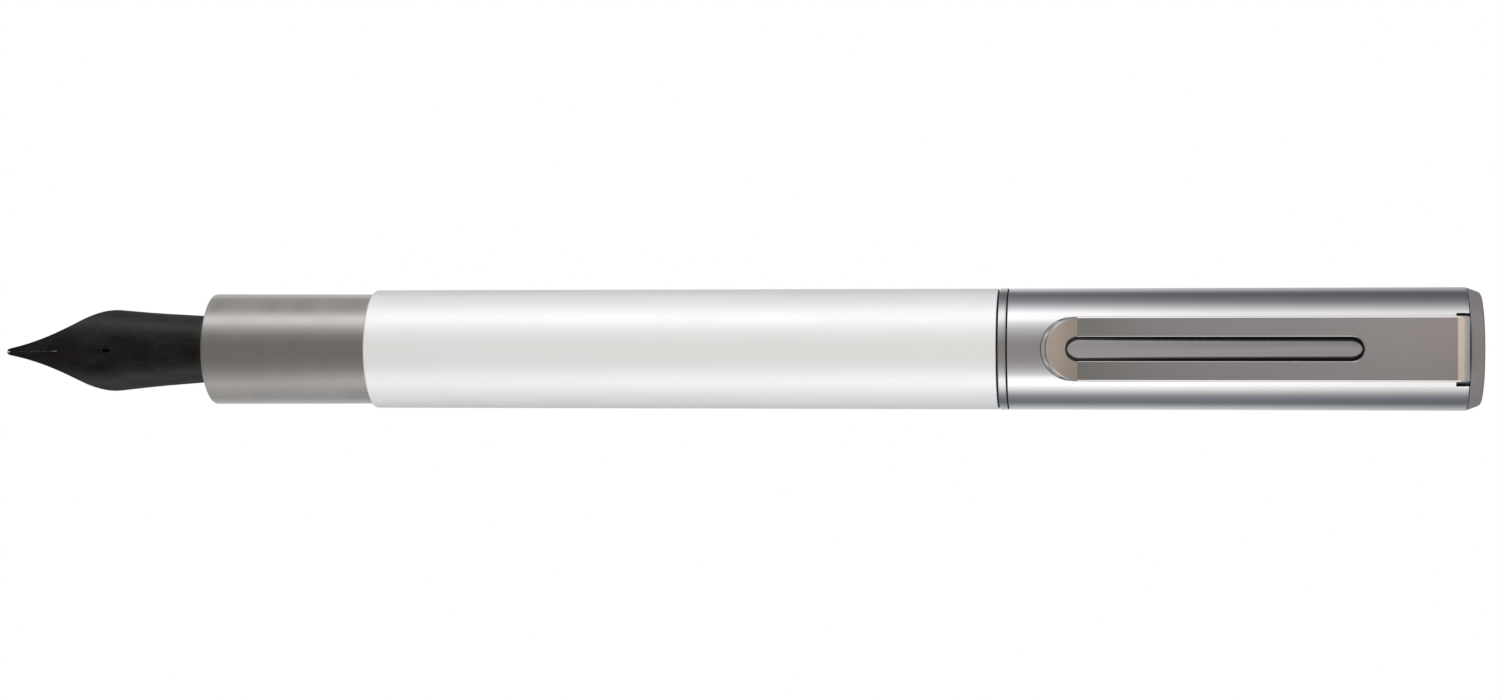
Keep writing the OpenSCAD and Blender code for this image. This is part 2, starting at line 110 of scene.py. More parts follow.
def x_start(node):
    return box(node)[0][0] - ORIGIN_X


def x_end(node):
    return box(node)[1][0] - ORIGIN_X


BARREL_END = x_end("barrel_tube")
CAP_START, CAP_END = x_start("cap_tube"), x_end("cap_tube")
FINIAL_END = x_end("finial")
GRIP_FRONT = x_start("grip_sleeve")
NIB_TIP = x_start("nib_tipping")
BARREL_R = box("barrel_tube")[1][1]
CAP_R = box("cap_tube")[1][1]
RING_R = box("posting_tenon")[1][1]
NIB_REAR = -6.7             # where the nib and the feed end inside the grip
CLIP_HALF_WIDTH = 3.15
# the clip's hinge pin
PIN_X, PIN_Z = CAP_END - 1.3, 4.0


def point(x, y, z):
    """From mm at a station to metres in the frame."""
    return ((x + ORIGIN_X) / 1000, y / 1000, z / 1000)


def around(x, r, angle):
    """A point at radius r round the pen's axis."""
    return point(x, r * sin(angle), r * cos(angle))


# ---------------------------------------------------------------- node graphs
class Graph:
    """Fills a node tree. An input given as a socket is linked, any other value is set."""

    def __init__(self, tree):
        self.tree = tree
        tree.nodes.clear()

    def node(self, kind, inputs={}, **settings):
        node = self.tree.nodes.new("ShaderNode" + kind)
        for key, value in settings.items():
            setattr(node, key, value)
        for key, value in inputs.items():
            if isinstance(value, bpy.types.NodeSocket):
                self.tree.links.new(value, node.inputs[key])
            else:
                node.inputs[key].default_value = value
        return node

    def math(self, operation, *values):
        return self.node("Math", dict(enumerate(values)), operation=operation).outputs[0]

    def remap(self, value, source, target, smooth=False):
        inputs = {"Value": value, "From Min": source[0], "From Max": source[1],
                  "To Min": target[0], "To Max": target[1]}
        kind = "SMOOTHSTEP" if smooth else "LINEAR"
        return self.node("MapRange", inputs, interpolation_type=kind).outputs[0]

    def axes(self, vector):
        return self.node("SeparateXYZ", {0: vector}).outputs

    def stretch(self, vector, scale, rotation=(0, 0, 0)):
        inputs = {"Vector": vector, "Scale": scale, "Rotation": rotation}
        return self.node("Mapping", inputs).outputs[0]

    def noise(self, vector, detail, scale=1.0, roughness=.5):
        inputs = {"Vector": vector, "Detail": detail, "Scale": scale, "Roughness": roughness}
        return self.node("TexNoise", inputs).outputs["Fac"]

    def mix(self, factor, first, second, blend="MIX"):
        inputs = {0: factor, 6: first, 7: second}
        return self.node("Mix", inputs, data_type="RGBA", blend_type=blend).outputs[2]

    def times(self, colour, factor):
        inputs = {0: colour, "Scale": factor}
        return self.node("VectorMath", inputs, operation="SCALE").outputs[0]

    def ramp(self, factor, stops):
        """Colour ramp through (position, colour or grey) stops."""
        node = self.node("ValToRGB", {0: factor})
        elements = node.color_ramp.elements
        while len(elements) > 1:
            elements.remove(elements[-1])
        elements[0].position = stops[0][0]
        for i, (position, tone) in enumerate(stops):
            element = elements.new(position) if i else elements[0]
            element.color = (*(tone if isinstance(tone, tuple) else (tone,) * 3), 1)
        return node.outputs[0]

    def bump(self, height, strength, distance, normal):
        inputs = {"Height": height, "Strength": strength, "Distance": distance}
        if normal is not None:
            inputs["Normal"] = normal
        return self.node("Bump", inputs).outputs[0]


# ---------------------------------------------------------------- materials
# Toning steps: each takes the graph, the object coordinates (metres) and a colour, and
# returns a new colour.
def stain(graph, coords, colour, tint, amount, scale, patch):
    """Blotches of a tint, strongest in one place: patch is (centre, reach) in X, then in Y."""
    blotches = graph.noise(graph.stretch(coords, scale), detail=5.0, roughness=.6)
    factor = graph.remap(blotches, (.48, .66), (0.0, amount))
    axes = graph.axes(coords)
    for axis, (centre, reach) in zip("XY", patch):
        distance = graph.math("ABSOLUTE", graph.math("SUBTRACT", axes[axis], centre))
        near = graph.remap(distance, (0.0, reach), (1.0, 0.0), smooth=True)
        factor = graph.math("MULTIPLY", factor, near)
    return graph.mix(factor, colour, (*tint, 1))


def painted_slant_light(graph, coords, colour, facing, gain):
    """Painted light where the surface is seen at a slant: a gain above 1 paints a sheen, below 1
    paints shade.
    """
    seen = graph.node("LayerWeight", {"Blend": .5}).outputs["Facing"]
    return graph.times(colour, graph.remap(seen, facing, (1.0, gain), smooth=True))


def painted_light_across(graph, coords, colour, change):
    """Painted light: a slow change of tone from -Y to +Y, one side lit more than the other."""
    side = graph.axes(coords)["Y"]
    return graph.times(colour, graph.remap(side, (-.003, .003), (1 - change, 1 + change)))


def painted_light_along(graph, coords, colour, stations):
    """Painted light and shade down the length, through (X, gain) stations."""
    first, last = stations[0][0], stations[-1][0]
    place = graph.remap(graph.axes(coords)["X"], (first, last), (0.0, 1.0))
    # a ramp holds 0 to 1, so it carries half the gain
    stops = [((x - first) / (last - first), gain / 2) for x, gain in stations]
    return graph.times(colour, graph.math("MULTIPLY", graph.ramp(place, stops), 2.0))


def painted_light_strip(graph, coords, colour, x_from, x_to, half_width, gain):
    """A strip of painted light along the top, lifting the shade the clip casts on the cap under its
    window.
    """
    soft_end = .0006
    axes = graph.axes(coords)
    amount = graph.math("GREATER_THAN", axes["Z"], 0.0)
    side = graph.math("ABSOLUTE", axes["Y"])
    for value, full, none in ((side, half_width, half_width * 1.25),
                              (axes["X"], x_from, x_from - soft_end),
                              (axes["X"], x_to, x_to + soft_end)):
        amount = graph.math("MULTIPLY", amount, graph.remap(value, (full, none), (1.0, 0.0)))
    return graph.times(colour, graph.math("MULTIPLY_ADD", amount, gain - 1, 1.0))


def specks(graph, coords, colour, gain):
    """Small scattered lighter grains."""
    grains = graph.noise(coords, detail=4.0, scale=2600.0)
    return graph.times(colour, graph.remap(grains, (.60, .74), (1.0, 1.0 + gain)))


MATERIALS = {}


def material(name, base, grain, rough, metal=0.0, tone_var=.06, rough_var=.05, detail=4.0,
             bump=0.0, fine=(3000, 3000, 3000), fine_bump=0.0, scratches=0.0, ior=1.5,
             transmission=0.0, specular=.5, toning=()):
    """Principled material whose colour, roughness and bump vary with stretched noise.

    grain and fine are noise cells per metre along each axis, so a low X gives streaks along
    the pen. tone_var and rough_var are the spread either side of base and rough.
    """
    made = bpy.data.materials.new(name)
    made.use_nodes = True
    graph = Graph(made.node_tree)
    coords = graph.node("TexCoord").outputs["Object"]
    noise = graph.noise(graph.stretch(coords, grain), detail)
    noise_range = (.3, .7)

    tone = graph.remap(noise, noise_range, (1.0 - tone_var, 1.0 + tone_var))
    colour = graph.times(base, tone)
    for step in toning:
        colour = step(graph, coords, colour)

    normal = None
    if fine_bump:
        height = graph.noise(graph.stretch(coords, fine), detail=3.0)
        normal = graph.bump(height, fine_bump, .00002, normal)
    if bump:
        normal = graph.bump(noise, bump, .00003, normal)
    if scratches:
        cells = graph.stretch(coords, (90, 1400, 900), rotation=(.2, .3, .6))
        edges = graph.node("TexVoronoi", {"Vector": cells, "Scale": 1.0},
                           feature="DISTANCE_TO_EDGE").outputs["Distance"]
        height = graph.remap(edges, (0.0, .02), (0.0, 1.0))
        normal = graph.bump(height, scratches, .00002, normal)

    inputs = {
        "Base Color": colour, "Metallic": metal, "IOR": ior, "Coat Roughness": .15,
        "Transmission Weight": transmission, "Specular IOR Level": specular,
        "Roughness": graph.remap(noise, noise_range, (rough - rough_var, rough + rough_var))}
    if normal is not None:
        inputs["Normal"] = normal
    shader = graph.node("BsdfPrincipled", inputs)
    graph.node("OutputMaterial", {0: shader.outputs[0]})
    MATERIALS[name] = made
    return made


# matt sprayed paint: nearly even, a very fine orange peel; painted shade darkens it where it is
# seen at a slant
material("barrel_paint", (.86, .88, .885), grain=(120, 160, 160), rough=.44, metal=.40,
         tone_var=.008, rough_var=.03, fine=(5200, 5200, 5200), fine_bump=.10, specular=.3,
         toning=[partial(painted_slant_light, facing=(.45, .85), gain=.78)])
# polished steel; a strip of painted light along its top, under the clip's window, lifts the clip's
# shade there
material("cap_steel", (.63, .62, .62), grain=(22, 1500, 1500), rough=.12, metal=1,
         tone_var=.02, rough_var=.03, fine=(60, 7000, 7000), fine_bump=.05,
         toning=[partial(painted_light_strip, x_from=.0390, x_to=.0672, half_width=.00120, gain=1.2)])
# painted light on the clip: lighter to +Y than to -Y, and painted reflection and shade along its
# length, darkest by the knee
CLIP_PAINTED_LIGHT = ((.0365, .88), (.0377, .87), (.0389, .72), (.0396, .70), (.0398, .83),
              (.0433, .86), (.0708, 1.10))
material("clip_steel", (.63, .615, .61), grain=(30, 700, 700), rough=.13, metal=1,
         tone_var=.02, rough_var=.03, fine=(90, 5200, 5200), fine_bump=.04,
         toning=[partial(painted_light_across, change=.075), partial(painted_light_along, stations=CLIP_PAINTED_LIGHT)])
material("finial_steel", (.245, .228, .236), grain=(1600, 350, 350), rough=.56, metal=.4,
         tone_var=.05, fine=(6000, 6000, 6000), fine_bump=.18)
material("tenon_steel", (.55, .54, .54), grain=(3000, 300, 300), rough=.14, metal=1,
         tone_var=.03, rough_var=.03, fine=(7000, 500, 500), fine_bump=.06)
# satin metal, with a painted sheen that makes it lighter where it is seen at a slant
material("grip_metal", (.445, .42, .395), grain=(500, 160, 160), rough=.30, metal=1,
         tone_var=.035, rough_var=.03, fine=(4200, 2600, 2600), fine_bump=.10,
         toning=[partial(painted_slant_light, facing=(.26, .52), gain=1.8)])
# dark steel with a brown stain, scratches and grains of dry ink; a painted sheen lightens it where
# it is seen at a slant
material("nib_steel", (.033, .031, .031), grain=(300, 900, 900), rough=.40, metal=.85,
         tone_var=.22, rough_var=.10, detail=6, bump=.25, fine=(2600, 2600, 2600),
         fine_bump=.25, scratches=.22,
         toning=[partial(stain, tint=(.052, .026, .020), amount=.55, scale=(420, 546, 420),
                         patch=((-.0655, .0045), (-.0016, .0022))),
                 partial(painted_slant_light, facing=(.16, .30), gain=1.45),
                 partial(specks, gain=.5)])
material("tipping_metal", (.04, .04, .042), grain=(900, 900, 900), rough=.34, metal=1,
         tone_var=.1, fine_bump=.05)
material("feed_plastic", (.018, .018, .019), grain=(700, 900, 900), rough=.42,
         tone_var=.15, rough_var=.08, fine_bump=.15)
material("black_plastic", (.022, .022, .024), grain=(500, 500, 500), rough=.3,
         tone_var=.12, fine_bump=.08)
material("knob_plastic", (.02, .02, .022), grain=(600, 600, 600), rough=.36,
         tone_var=.12, fine_bump=.15)
material("grey_plastic", (.045, .046, .05), grain=(500, 500, 500), rough=.28,
         tone_var=.08, fine_bump=.08)
material("nut_plastic", (.62, .62, .6), grain=(500, 500, 500), rough=.32,
         tone_var=.03, fine_bump=.06)
material("rod_plastic", (.74, .74, .71), grain=(600, 600, 600), rough=.34,
         tone_var=.04, fine_bump=.08)
material("seal_rubber", (.025, .025, .027), grain=(900, 900, 900), rough=.55,
         tone_var=.15, rough_var=.08, fine_bump=.2)
material("clear_plastic", (.78, .82, .85), grain=(300, 500, 500), rough=.14,
         tone_var=.01, rough_var=.01, transmission=.72, ior=1.49)
material("sleeve_steel", (.7, .7, .71), grain=(2200, 300, 300), rough=.14, metal=1,
         tone_var=.02, rough_var=.04, fine=(6000, 700, 700), fine_bump=.05)
material("insert_brass", (.72, .50, .22), grain=(3000, 400, 400), rough=.26, metal=1,
         rough_var=.06, fine=(7000, 900, 900), fine_bump=.12)
material("spring_steel", (.55, .55, .56), grain=(1500, 1500, 1500), rough=.2, metal=1,
         tone_var=.05, fine_bump=.08)
# dark alloy; its dark tone is also painted shade, so the gaps round the clip's neck read dark
material("carrier_alloy", (.16, .16, .163), grain=(2400, 500, 500), rough=.45, metal=1,
         tone_var=.04, fine=(6000, 900, 900), fine_bump=.12)
material("screw_steel", (.5, .5, .51), grain=(1200, 1200, 1200), rough=.25, metal=1,
         tone_var=.05, fine_bump=.1)
# painted shade: a black material put where shade falls, on the clip's underside, the lower
# walls of its window, the nib's cut edges and the grooves beside the ring and the finial
PAINTED_SHADE_BLACK = material("painted_shade_black", (.012, .012, .013), grain=(400, 700, 700), rough=.6,
                     metal=.3, tone_var=.2, rough_var=.06, fine=(4000, 4000, 4000),
                     fine_bump=.2)

SLOT_OF = {part["node"]: part["material_slot"] for part in frame["record"]["subparts"]}
BODY_OF = {node: body for body, nodes in frame["record"]["behaviour"]["bodies"].items()
           for node in nodes}


# ---------------------------------------------------------------- mesh tools
def use_slot_material(ob, node):
    ob.data.materials.clear()
    ob.data.materials.append(MATERIALS[SLOT_OF[node]])


def finish_mesh(name, bm, node, sharp=40):
    """Turns bm into an object that stands for a CAD node and rides on that node's body."""
    mesh = bpy.data.meshes.new(name)
    bm.to_mesh(mesh)
    bm.free()
    mesh.materials.append(MATERIALS[SLOT_OF[node]])
    for face in mesh.polygons:
        face.use_smooth = True
    mesh.set_sharp_from_angle(angle=radians(sharp))
    ob = bpy.data.objects.new(name, mesh)
    scene.collection.objects.link(ob)
    weighted = ob.modifiers.new("weighted_normals", "WEIGHTED_NORMAL")
    weighted.keep_sharp = True
    weighted.weight = 80
    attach(ob, BODY_OF[node])
    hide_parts(node)
    return ob


def make(name, verts, faces, node, bevel=0.0, bevel_segments=2, bevel_angle=50, sharp=40,
         weld=1e-7, drop_loose=False, dark=None):
    """An object from points in metres. Bevel is in mm, weld in metres.

    Faces whose centre (x, radius) satisfies dark get the black painted-shade material.
    """
    bm = bmesh.new()
    made = [bm.verts.new(v) for v in verts]
    for face in faces:
        bm.faces.new([made[i] for i in face])
    bmesh.ops.remove_doubles(bm, verts=bm.verts[:], dist=weld)
    bmesh.ops.recalc_face_normals(bm, faces=bm.faces[:])
    if bevel:
        bm.normal_update()
        edges = [e for e in bm.edges
                 if len(e.link_faces) == 2 and e.calc_face_angle(0) > radians(bevel_angle)]
        bmesh.ops.bevel(bm, geom=edges, offset=bevel / 1000, offset_type="OFFSET",
                        segments=bevel_segments, profile=.5, affect="EDGES",
                        clamp_overlap=True)
    if drop_loose:
        loose = [v for v in bm.verts if not v.link_faces]
        bmesh.ops.delete(bm, geom=loose, context="VERTS")
    bmesh.ops.remove_doubles(bm, verts=bm.verts[:], dist=weld)
    bmesh.ops.recalc_face_normals(bm, faces=bm.faces[:])
    if dark:
        for face in bm.faces:
            centre = face.calc_center_median() * 1000
            is_dark = dark(centre.x - ORIGIN_X, hypot(centre.y, centre.z))
            face.material_index = 1 if is_dark else 0
    ob = finish_mesh(name, bm, node, sharp)
    if dark:
        ob.data.materials.append(PAINTED_SHADE_BLACK)
    return ob


def absorb(bm, part):
    """Moves the bmesh part into bm."""
    mesh = bpy.data.meshes.new("tmp")
    part.to_mesh(mesh)
    part.free()
    bm.from_mesh(mesh)
    bpy.data.meshes.remove(mesh)


def ring_quads(first, second, size):
    """Quads between two closed rings that begin at the vertex indices first and second."""
    return [(first + k, first + (k + 1) % size, second + (k + 1) % size, second + k)
            for k in range(size)]


def loft(rings, closed=False):
    """Skin over rings of equal size. Closed joins last to first; otherwise ends are capped."""
    size, count = len(rings[0]), len(rings)
    verts = [v for ring in rings for v in ring]
    faces = []
    for i in range(count if closed else count - 1):
        faces += ring_quads(i * size, (i + 1) % count * size, size)
    if not closed:
        faces += [tuple(range(size)), tuple(range((count - 1) * size, count * size))]
    return verts, faces


def fillet(profile, steps=4):
    """A closed loop of (x, r) or (x, r, radius): corners with a radius become arcs."""
    out = []
    for i, entry in enumerate(profile):
        radius = entry[2] if len(entry) > 2 else 0
        corner = np.array(entry[:2], float)
        if radius <= 0:
            out.append(tuple(corner))
            continue
        back = np.array(profile[i - 1][:2], float) - corner
        ahead = np.array(profile[(i + 1) % len(profile)][:2], float) - corner
        back_length, ahead_length = np.linalg.norm(back), np.linalg.norm(ahead)
        back, ahead = back / back_length, ahead / ahead_length
        angle = math.acos(max(-1, min(1, float(back @ ahead))))
        if angle > pi - .04 or angle < .04:
            out.append(tuple(corner))
            continue
        reach = min(radius / tan(angle / 2), .49 * back_length, .49 * ahead_length)
        radius = reach * tan(angle / 2)
        middle = (back + ahead) / np.linalg.norm(back + ahead)
        centre = corner + middle * (radius / sin(angle / 2))
        first, last = corner + back * reach - centre, corner + ahead * reach - centre
        start = math.atan2(first[1], first[0])
        turn = (math.atan2(last[1], last[0]) - start + pi) % (2 * pi) - pi
        for k in range(steps + 1):
            a = start + turn * k / steps
            out.append((centre[0] + radius * cos(a), centre[1] + radius * sin(a)))
    return out


def lathe(name, node, profile, segments=128, shape=None, arc_steps=4, sharp=40, dark=None):
    """Turns a closed profile of (x, r[, fillet]); shape(x, r, angle) may change the radius."""
    verts, rings, faces = [], [], []
    for x, r in fillet(profile, arc_steps):
        size = 1 if r < 1e-6 else segments
        rings.append((len(verts), size))
        for k in range(size):
            angle = 2 * pi * k / segments
            radius = shape(x, r, angle) if shape and size > 1 else r
            verts.append(around(x, radius, angle))
    for (a, a_size), (b, b_size) in zip(rings, rings[1:] + rings[:1]):
        if a_size == b_size == 1:
            continue
        if a_size == 1:
            faces += [(a, b + (k + 1) % segments, b + k) for k in range(segments)]
        elif b_size == 1:
            faces += [(a + k, a + (k + 1) % segments, b) for k in range(segments)]
        else:
            faces += ring_quads(a, b, segments)
    return make(name, verts, faces, node, sharp=sharp, dark=dark)


def span(x0, x1, r, count):
    return [(x0 + (x1 - x0) * i / count, r) for i in range(count + 1)]


def thread(x0, x1, low, high, pitch, fade):
    """Radius along a helical thread between x0 and x1; outside it the radius is left alone."""
    def shape(x, r, angle):
        if x < x0 - 1e-6 or x > x1 + 1e-6:
            return r
        turn = ((x - x0) / pitch - angle / (2 * pi)) % 1.0
        height = max(0.0, min(1.0, (.36 - abs(turn - .5)) / .22))
        ends = min(1.0, (x - x0) / fade, (x1 - x) / fade)
        return low + (high - low) * height * max(0.0, ends)
    return shape


# ---------------------------------------------------------------- barrel
# Profiles are (x, radius[, fillet]).
BORE_R = 5.25
SCREW_PITCH = .75           # of the thread between section and barrel

lathe("barrel_shell", "barrel_tube", [
    (0, 5.33, .03), (0, BARREL_R, .16), (BARREL_END, BARREL_R, .05), (BARREL_END, BORE_R, .03),
    *[(BARREL_END * k / 6, BORE_R) for k in range(5, 0, -1)], (.1, BORE_R)],
    segments=224, arc_steps=6)


def thread_insert():
    x0, x1 = x_start("thread_insert"), x_end("thread_insert")
    t0, t1, root = x0 + .2, x1 - .2, 5.02
    lathe("brass_thread_insert", "thread_insert", [
        (x0, 5.24, .1), (x1, 5.24, .1), (x1, 4.98, .05), *reversed(span(t0, t1, root, 120)),
        (x0, 4.98, .05)],
        shape=thread(t0, t1, root, 4.80, SCREW_PITCH, fade=.5), sharp=60)


thread_insert()

GROOVE_X, GROOVE_WIDTH = BARREL_END + 6.0, 1.6      # seat of the split friction ring


def posting_tenon():
    """Spigot behind the barrel, with a raised ring between barrel and cap."""
    rim, end = BARREL_END, x_end("posting_tenon")
    groove_end = GROOVE_X + GROOVE_WIDTH
    lathe("posting_tenon_turned", "posting_tenon", [
        (rim - 6, 4.6, .05), (rim - 6, 5.24, .2), (rim + .01, 5.24), (rim + .01, RING_R - .32),
        (rim + .19, RING_R - .30), (rim + .19, RING_R - .004, .04), (rim + .35, RING_R - .002),
        (rim + .55, RING_R), (rim + .78, RING_R - .002), (rim + .96, RING_R - .004, .04),
        (rim + .96, RING_R - .30), (rim + 1.0, RING_R - .32), (rim + 1.0, 5.5, .05),
        (rim + 1.5, 5.5, .05), (rim + 1.7, 5.6, .1), (GROOVE_X, 5.6, .05), (GROOVE_X, 5.15),
        (groove_end, 5.15), (groove_end, 5.6, .05), (end, 5.6, .7), (end, 0), (end - 1.2, 0),
        (end - 1.2, 4.6, .3)],
        segments=192, arc_steps=6,
        # the grooves either side of the ring are painted black, as painted shade
        dark=lambda x, r: rim < x < rim + 1.1 and r < RING_R - .08)


posting_tenon()


def friction_ring():
    """A split ring with a crowned middle; its gap is underneath."""
    x0, x1 = GROOVE_X + .04, GROOVE_X + GROOVE_WIDTH - .04
    section = fillet([
        (x0, 5.16), (x0, 5.56, .04), (x0 + .35, 5.64, .1), (x0 + .6, 5.68, .15),
        (x1 - .6, 5.68, .15), (x1 - .35, 5.64, .1), (x1, 5.56, .04), (x1, 5.16)], 3)
    gap, count = radians(9), 150
    angles = [pi + gap / 2 + (2 * pi - gap) * k / count for k in range(count + 1)]
    rings = [[around(x, r, angle) for x, r in section] for angle in angles]
    make("tenon_spring_ring", *loft(rings), "tenon_friction_ring")


friction_ring()


# ---------------------------------------------------------------- writing section
def seal_ring():
    centre_x, centre_r, wire_r = .62, 4.835, .395
    count, wire_count = 128, 24
    wire = [2 * pi * j / wire_count for j in range(wire_count)]
    rings = [[around(centre_x + wire_r * sin(q), centre_r + wire_r * cos(q), 2 * pi * i / count)
              for q in wire] for i in range(count)]
    make("section_seal_ring", *loft(rings, closed=True), "section_o_ring", sharp=80)


seal_ring()

lathe("grip_shell", "grip_sleeve", [
    (GRIP_FRONT, 3.78, .12), (GRIP_FRONT, 5.64, .14), (-.02, 5.58, .1), (-.02, 4.62, .04),
    (GRIP_FRONT + 1.5, 4.62), (GRIP_FRONT + 1.5, 3.78, .05)],
    segments=224, arc_steps=6)


def section_core():
    x0 = x_start("section_core")
    t0, t1, root = 1.65, 8.35, 4.42
    lathe("section_core_threaded", "section_core", [
        (x0, 4.15), (x0, 4.6, .1), (-.02, 4.6, .04), (-.02, root), (1.6, root),
        *span(t0, t1, root, 120), (8.5, root, .05), (8.7, 4.2, .05), (8.7, 3.85, .08),
        (-5.1, 3.85), (-5.1, 4.15)],
        shape=thread(t0, t1, root, 4.70, SCREW_PITCH, fade=.6), sharp=60)


section_core()

HOUSING_FRONT = x_start("nib_housing")
lathe("nib_housing_moulded", "nib_housing", [
    (HOUSING_FRONT, 3.5, .06), (HOUSING_FRONT, 3.75, .06), (GRIP_FRONT + 1.52, 3.75),
    (GRIP_FRONT + 1.52, 4.59, .08), (-10.52, 4.59, .05), (-10.52, 4.13), (-5.2, 4.13, .1),
    (-5.2, 1.4, .15), (-.6, 1.4), (.6, 1.15, .12), (.6, .75, .05), (-6.4, .75), (-6.4, 3.5)],
    segments=96, arc_steps=5)


# ---------------------------------------------------------------- nib
# The nib is a tube that opens towards its tip into a flatter arc.
CONE_END = GRIP_FRONT - 1.0
CONE_LENGTH = CONE_END - NIB_TIP
TUBE_R = 3.47
TIP_ARC_R, TIP_TOP_Z = 6.9, .72         # at the tip: the arc's radius and the height of its top
WAIST_X = NIB_TIP + 13.4


def cone(x):
    """(height of the arc's centre, radius) of the nib's outside at x."""
    ahead = max(0.0, CONE_END - x)
    return (-(TIP_ARC_R - TIP_TOP_Z) / CONE_LENGTH * ahead,
            TUBE_R + (TIP_ARC_R - TUBE_R) / CONE_LENGTH * ahead)


def narrowing(x):
    """How far the arc is squeezed in width at x; it eases out to a true circle at the tube."""
    u = min(1.0, max(0.0, (x - WAIST_X) / (CONE_END - WAIST_X)))
    return .961 + .039 * u * u * (3 - 2 * u)


def nib_z(x, y, depth):
    """Height of the surface that lies depth inside the nib's outside."""
    centre, r = cone(x)
    return centre + sqrt(max((r - depth) ** 2 - (y / narrowing(x)) ** 2, 1e-6))


def lean(x):
    """The nib sits a hair to the -Y side: how far at x."""
    return -.29 * max(0.0, GRIP_FRONT + .4 - x) / 22.9


def bezier(controls, t):
    a, b, c, d = [np.array(q, float) for q in controls]
    return (1 - t) ** 3 * a + 3 * (1 - t) ** 2 * t * b + 3 * (1 - t) * t * t * c + t ** 3 * d


# plan of the nib's edge, (x, half width): the tines, the shoulder, then the sides
TINE_CURVE = [(NIB_TIP + .3, .33), (NIB_TIP + 3.4, .93), (NIB_TIP + 5.7, 1.87),
              (NIB_TIP + 8.1, 3.17)]
SHOULDER_CURVE = [(NIB_TIP + 8.1, 3.17), (NIB_TIP + 10.8, 4.62), (NIB_TIP + 12, 4.14),
                  (WAIST_X, 4.06)]
NIB_SIDES = [(NIB_TIP + 15.2, 3.885), (NIB_TIP + 17.4, 3.71), (GRIP_FRONT - 2.4, 3.525),
             (GRIP_FRONT - 1.0, 3.43), (GRIP_FRONT - .2, 3.42), (-6.6, 3.42)]
NIB_EDGE = np.array([bezier(TINE_CURVE, i / 60) for i in range(61)]
                    + [bezier(SHOULDER_CURVE, i / 40) for i in range(1, 41)] + NIB_SIDES)


def nib():
    """Two mirrored halves, parted by a slit that runs from the tip to a round hole."""
    hole_x, hole_r = NIB_TIP + 11.3, .44
    slit, slit_at_tip = .035, .0012         # half widths
    slit_end = hole_x - sqrt(hole_r * hole_r - slit * slit)
    slit_start = NIB_TIP + 5.0
    thickness = .30

    xs = [*np.linspace(NIB_TIP + .42, hole_x - hole_r - .25, 88), hole_x - hole_r - .1, slit_end]
    xs += [hole_x - hole_r * cos(a) for a in np.linspace(asin(slit / hole_r), pi, 22)[1:]]
    xs += list(np.linspace(hole_x + hole_r + .06, GRIP_FRONT + .9, 70))
    xs += list(np.linspace(GRIP_FRONT + 1.2, NIB_REAR, 18))
    spans = 22                              # across each half

    def opening(x):
        """Half width of the slit or the hole."""
        if x < slit_end + 1e-9:
            part = max(0.0, (x - slit_start) / (slit_end - slit_start))
            return slit_at_tip + (slit - slit_at_tip) * part ** .7
        if x < hole_x + hole_r:
            return sqrt(max(hole_r * hole_r - (x - hole_x) ** 2, 0))
        return 0.0

    def surface(x, side, v, low):
        """v runs from the slit (0) to the edge (1); low is the underside."""
        gap = opening(x)
        width = max(float(np.interp(x, NIB_EDGE[:, 0], NIB_EDGE[:, 1])), gap + .1)
        y = gap + (width - gap) * v
        centre, r = cone(x)
        squeeze = narrowing(x)
        angle = asin(min(.9995, y / (squeeze * r)))
        if low:
            r -= thickness + .12 * max(0.0, 1 - (x - NIB_TIP) / 5)
        arc_y = squeeze * r * sin(angle)
        if low:
            # the edge leans in a little under the nib, as a cut edge does
            y -= (y - arc_y) * v ** .5
        elif v:
            y = arc_y
        z = centre + r * sqrt(max(1 - (y / (squeeze * r)) ** 2, 1e-6))
        return point(x, side * y + lean(x), z)

    verts, faces = [], []
    rows, row = len(xs), spans + 1
    for side in (1, -1):
        for low in (0, 1):
            base = len(verts)
            verts += [surface(x, side, j / spans, low) for x in xs for j in range(row)]
            for i in range(rows - 1):
                for j in range(spans):
                    a = base + i * row + j
                    faces.append((a, a + 1, a + row + 1, a + row))
    for half in (0, 1):
        top = half * 2 * rows * row
        under = top + rows * row
        for i in range(rows - 1):
            here, there = i * row, (i + 1) * row
            faces.append((top + here + spans, top + there + spans,
                          under + there + spans, under + here + spans))
            if opening(xs[i]) > 1e-9 or opening(xs[i + 1]) > 1e-9:
                faces.append((top + here, top + there, under + there, under + here))
        for i in (0, rows - 1):
            for j in range(i * row, i * row + spans):
                faces.append((top + j, top + j + 1, under + j + 1, under + j))
    ob = make("nib_blade", verts, faces, "nib", bevel=.035, bevel_angle=55, sharp=50, weld=2e-7)
    # its cut edges ahead of the grip are painted black, as painted shade
    ob.data.materials.append(PAINTED_SHADE_BLACK)
    for face in ob.data.polygons:
        steep = abs(face.normal.z) < .42
        exposed = face.center.x * 1000 - ORIGIN_X < GRIP_FRONT
        face.material_index = 1 if steep and exposed else 0


nib()


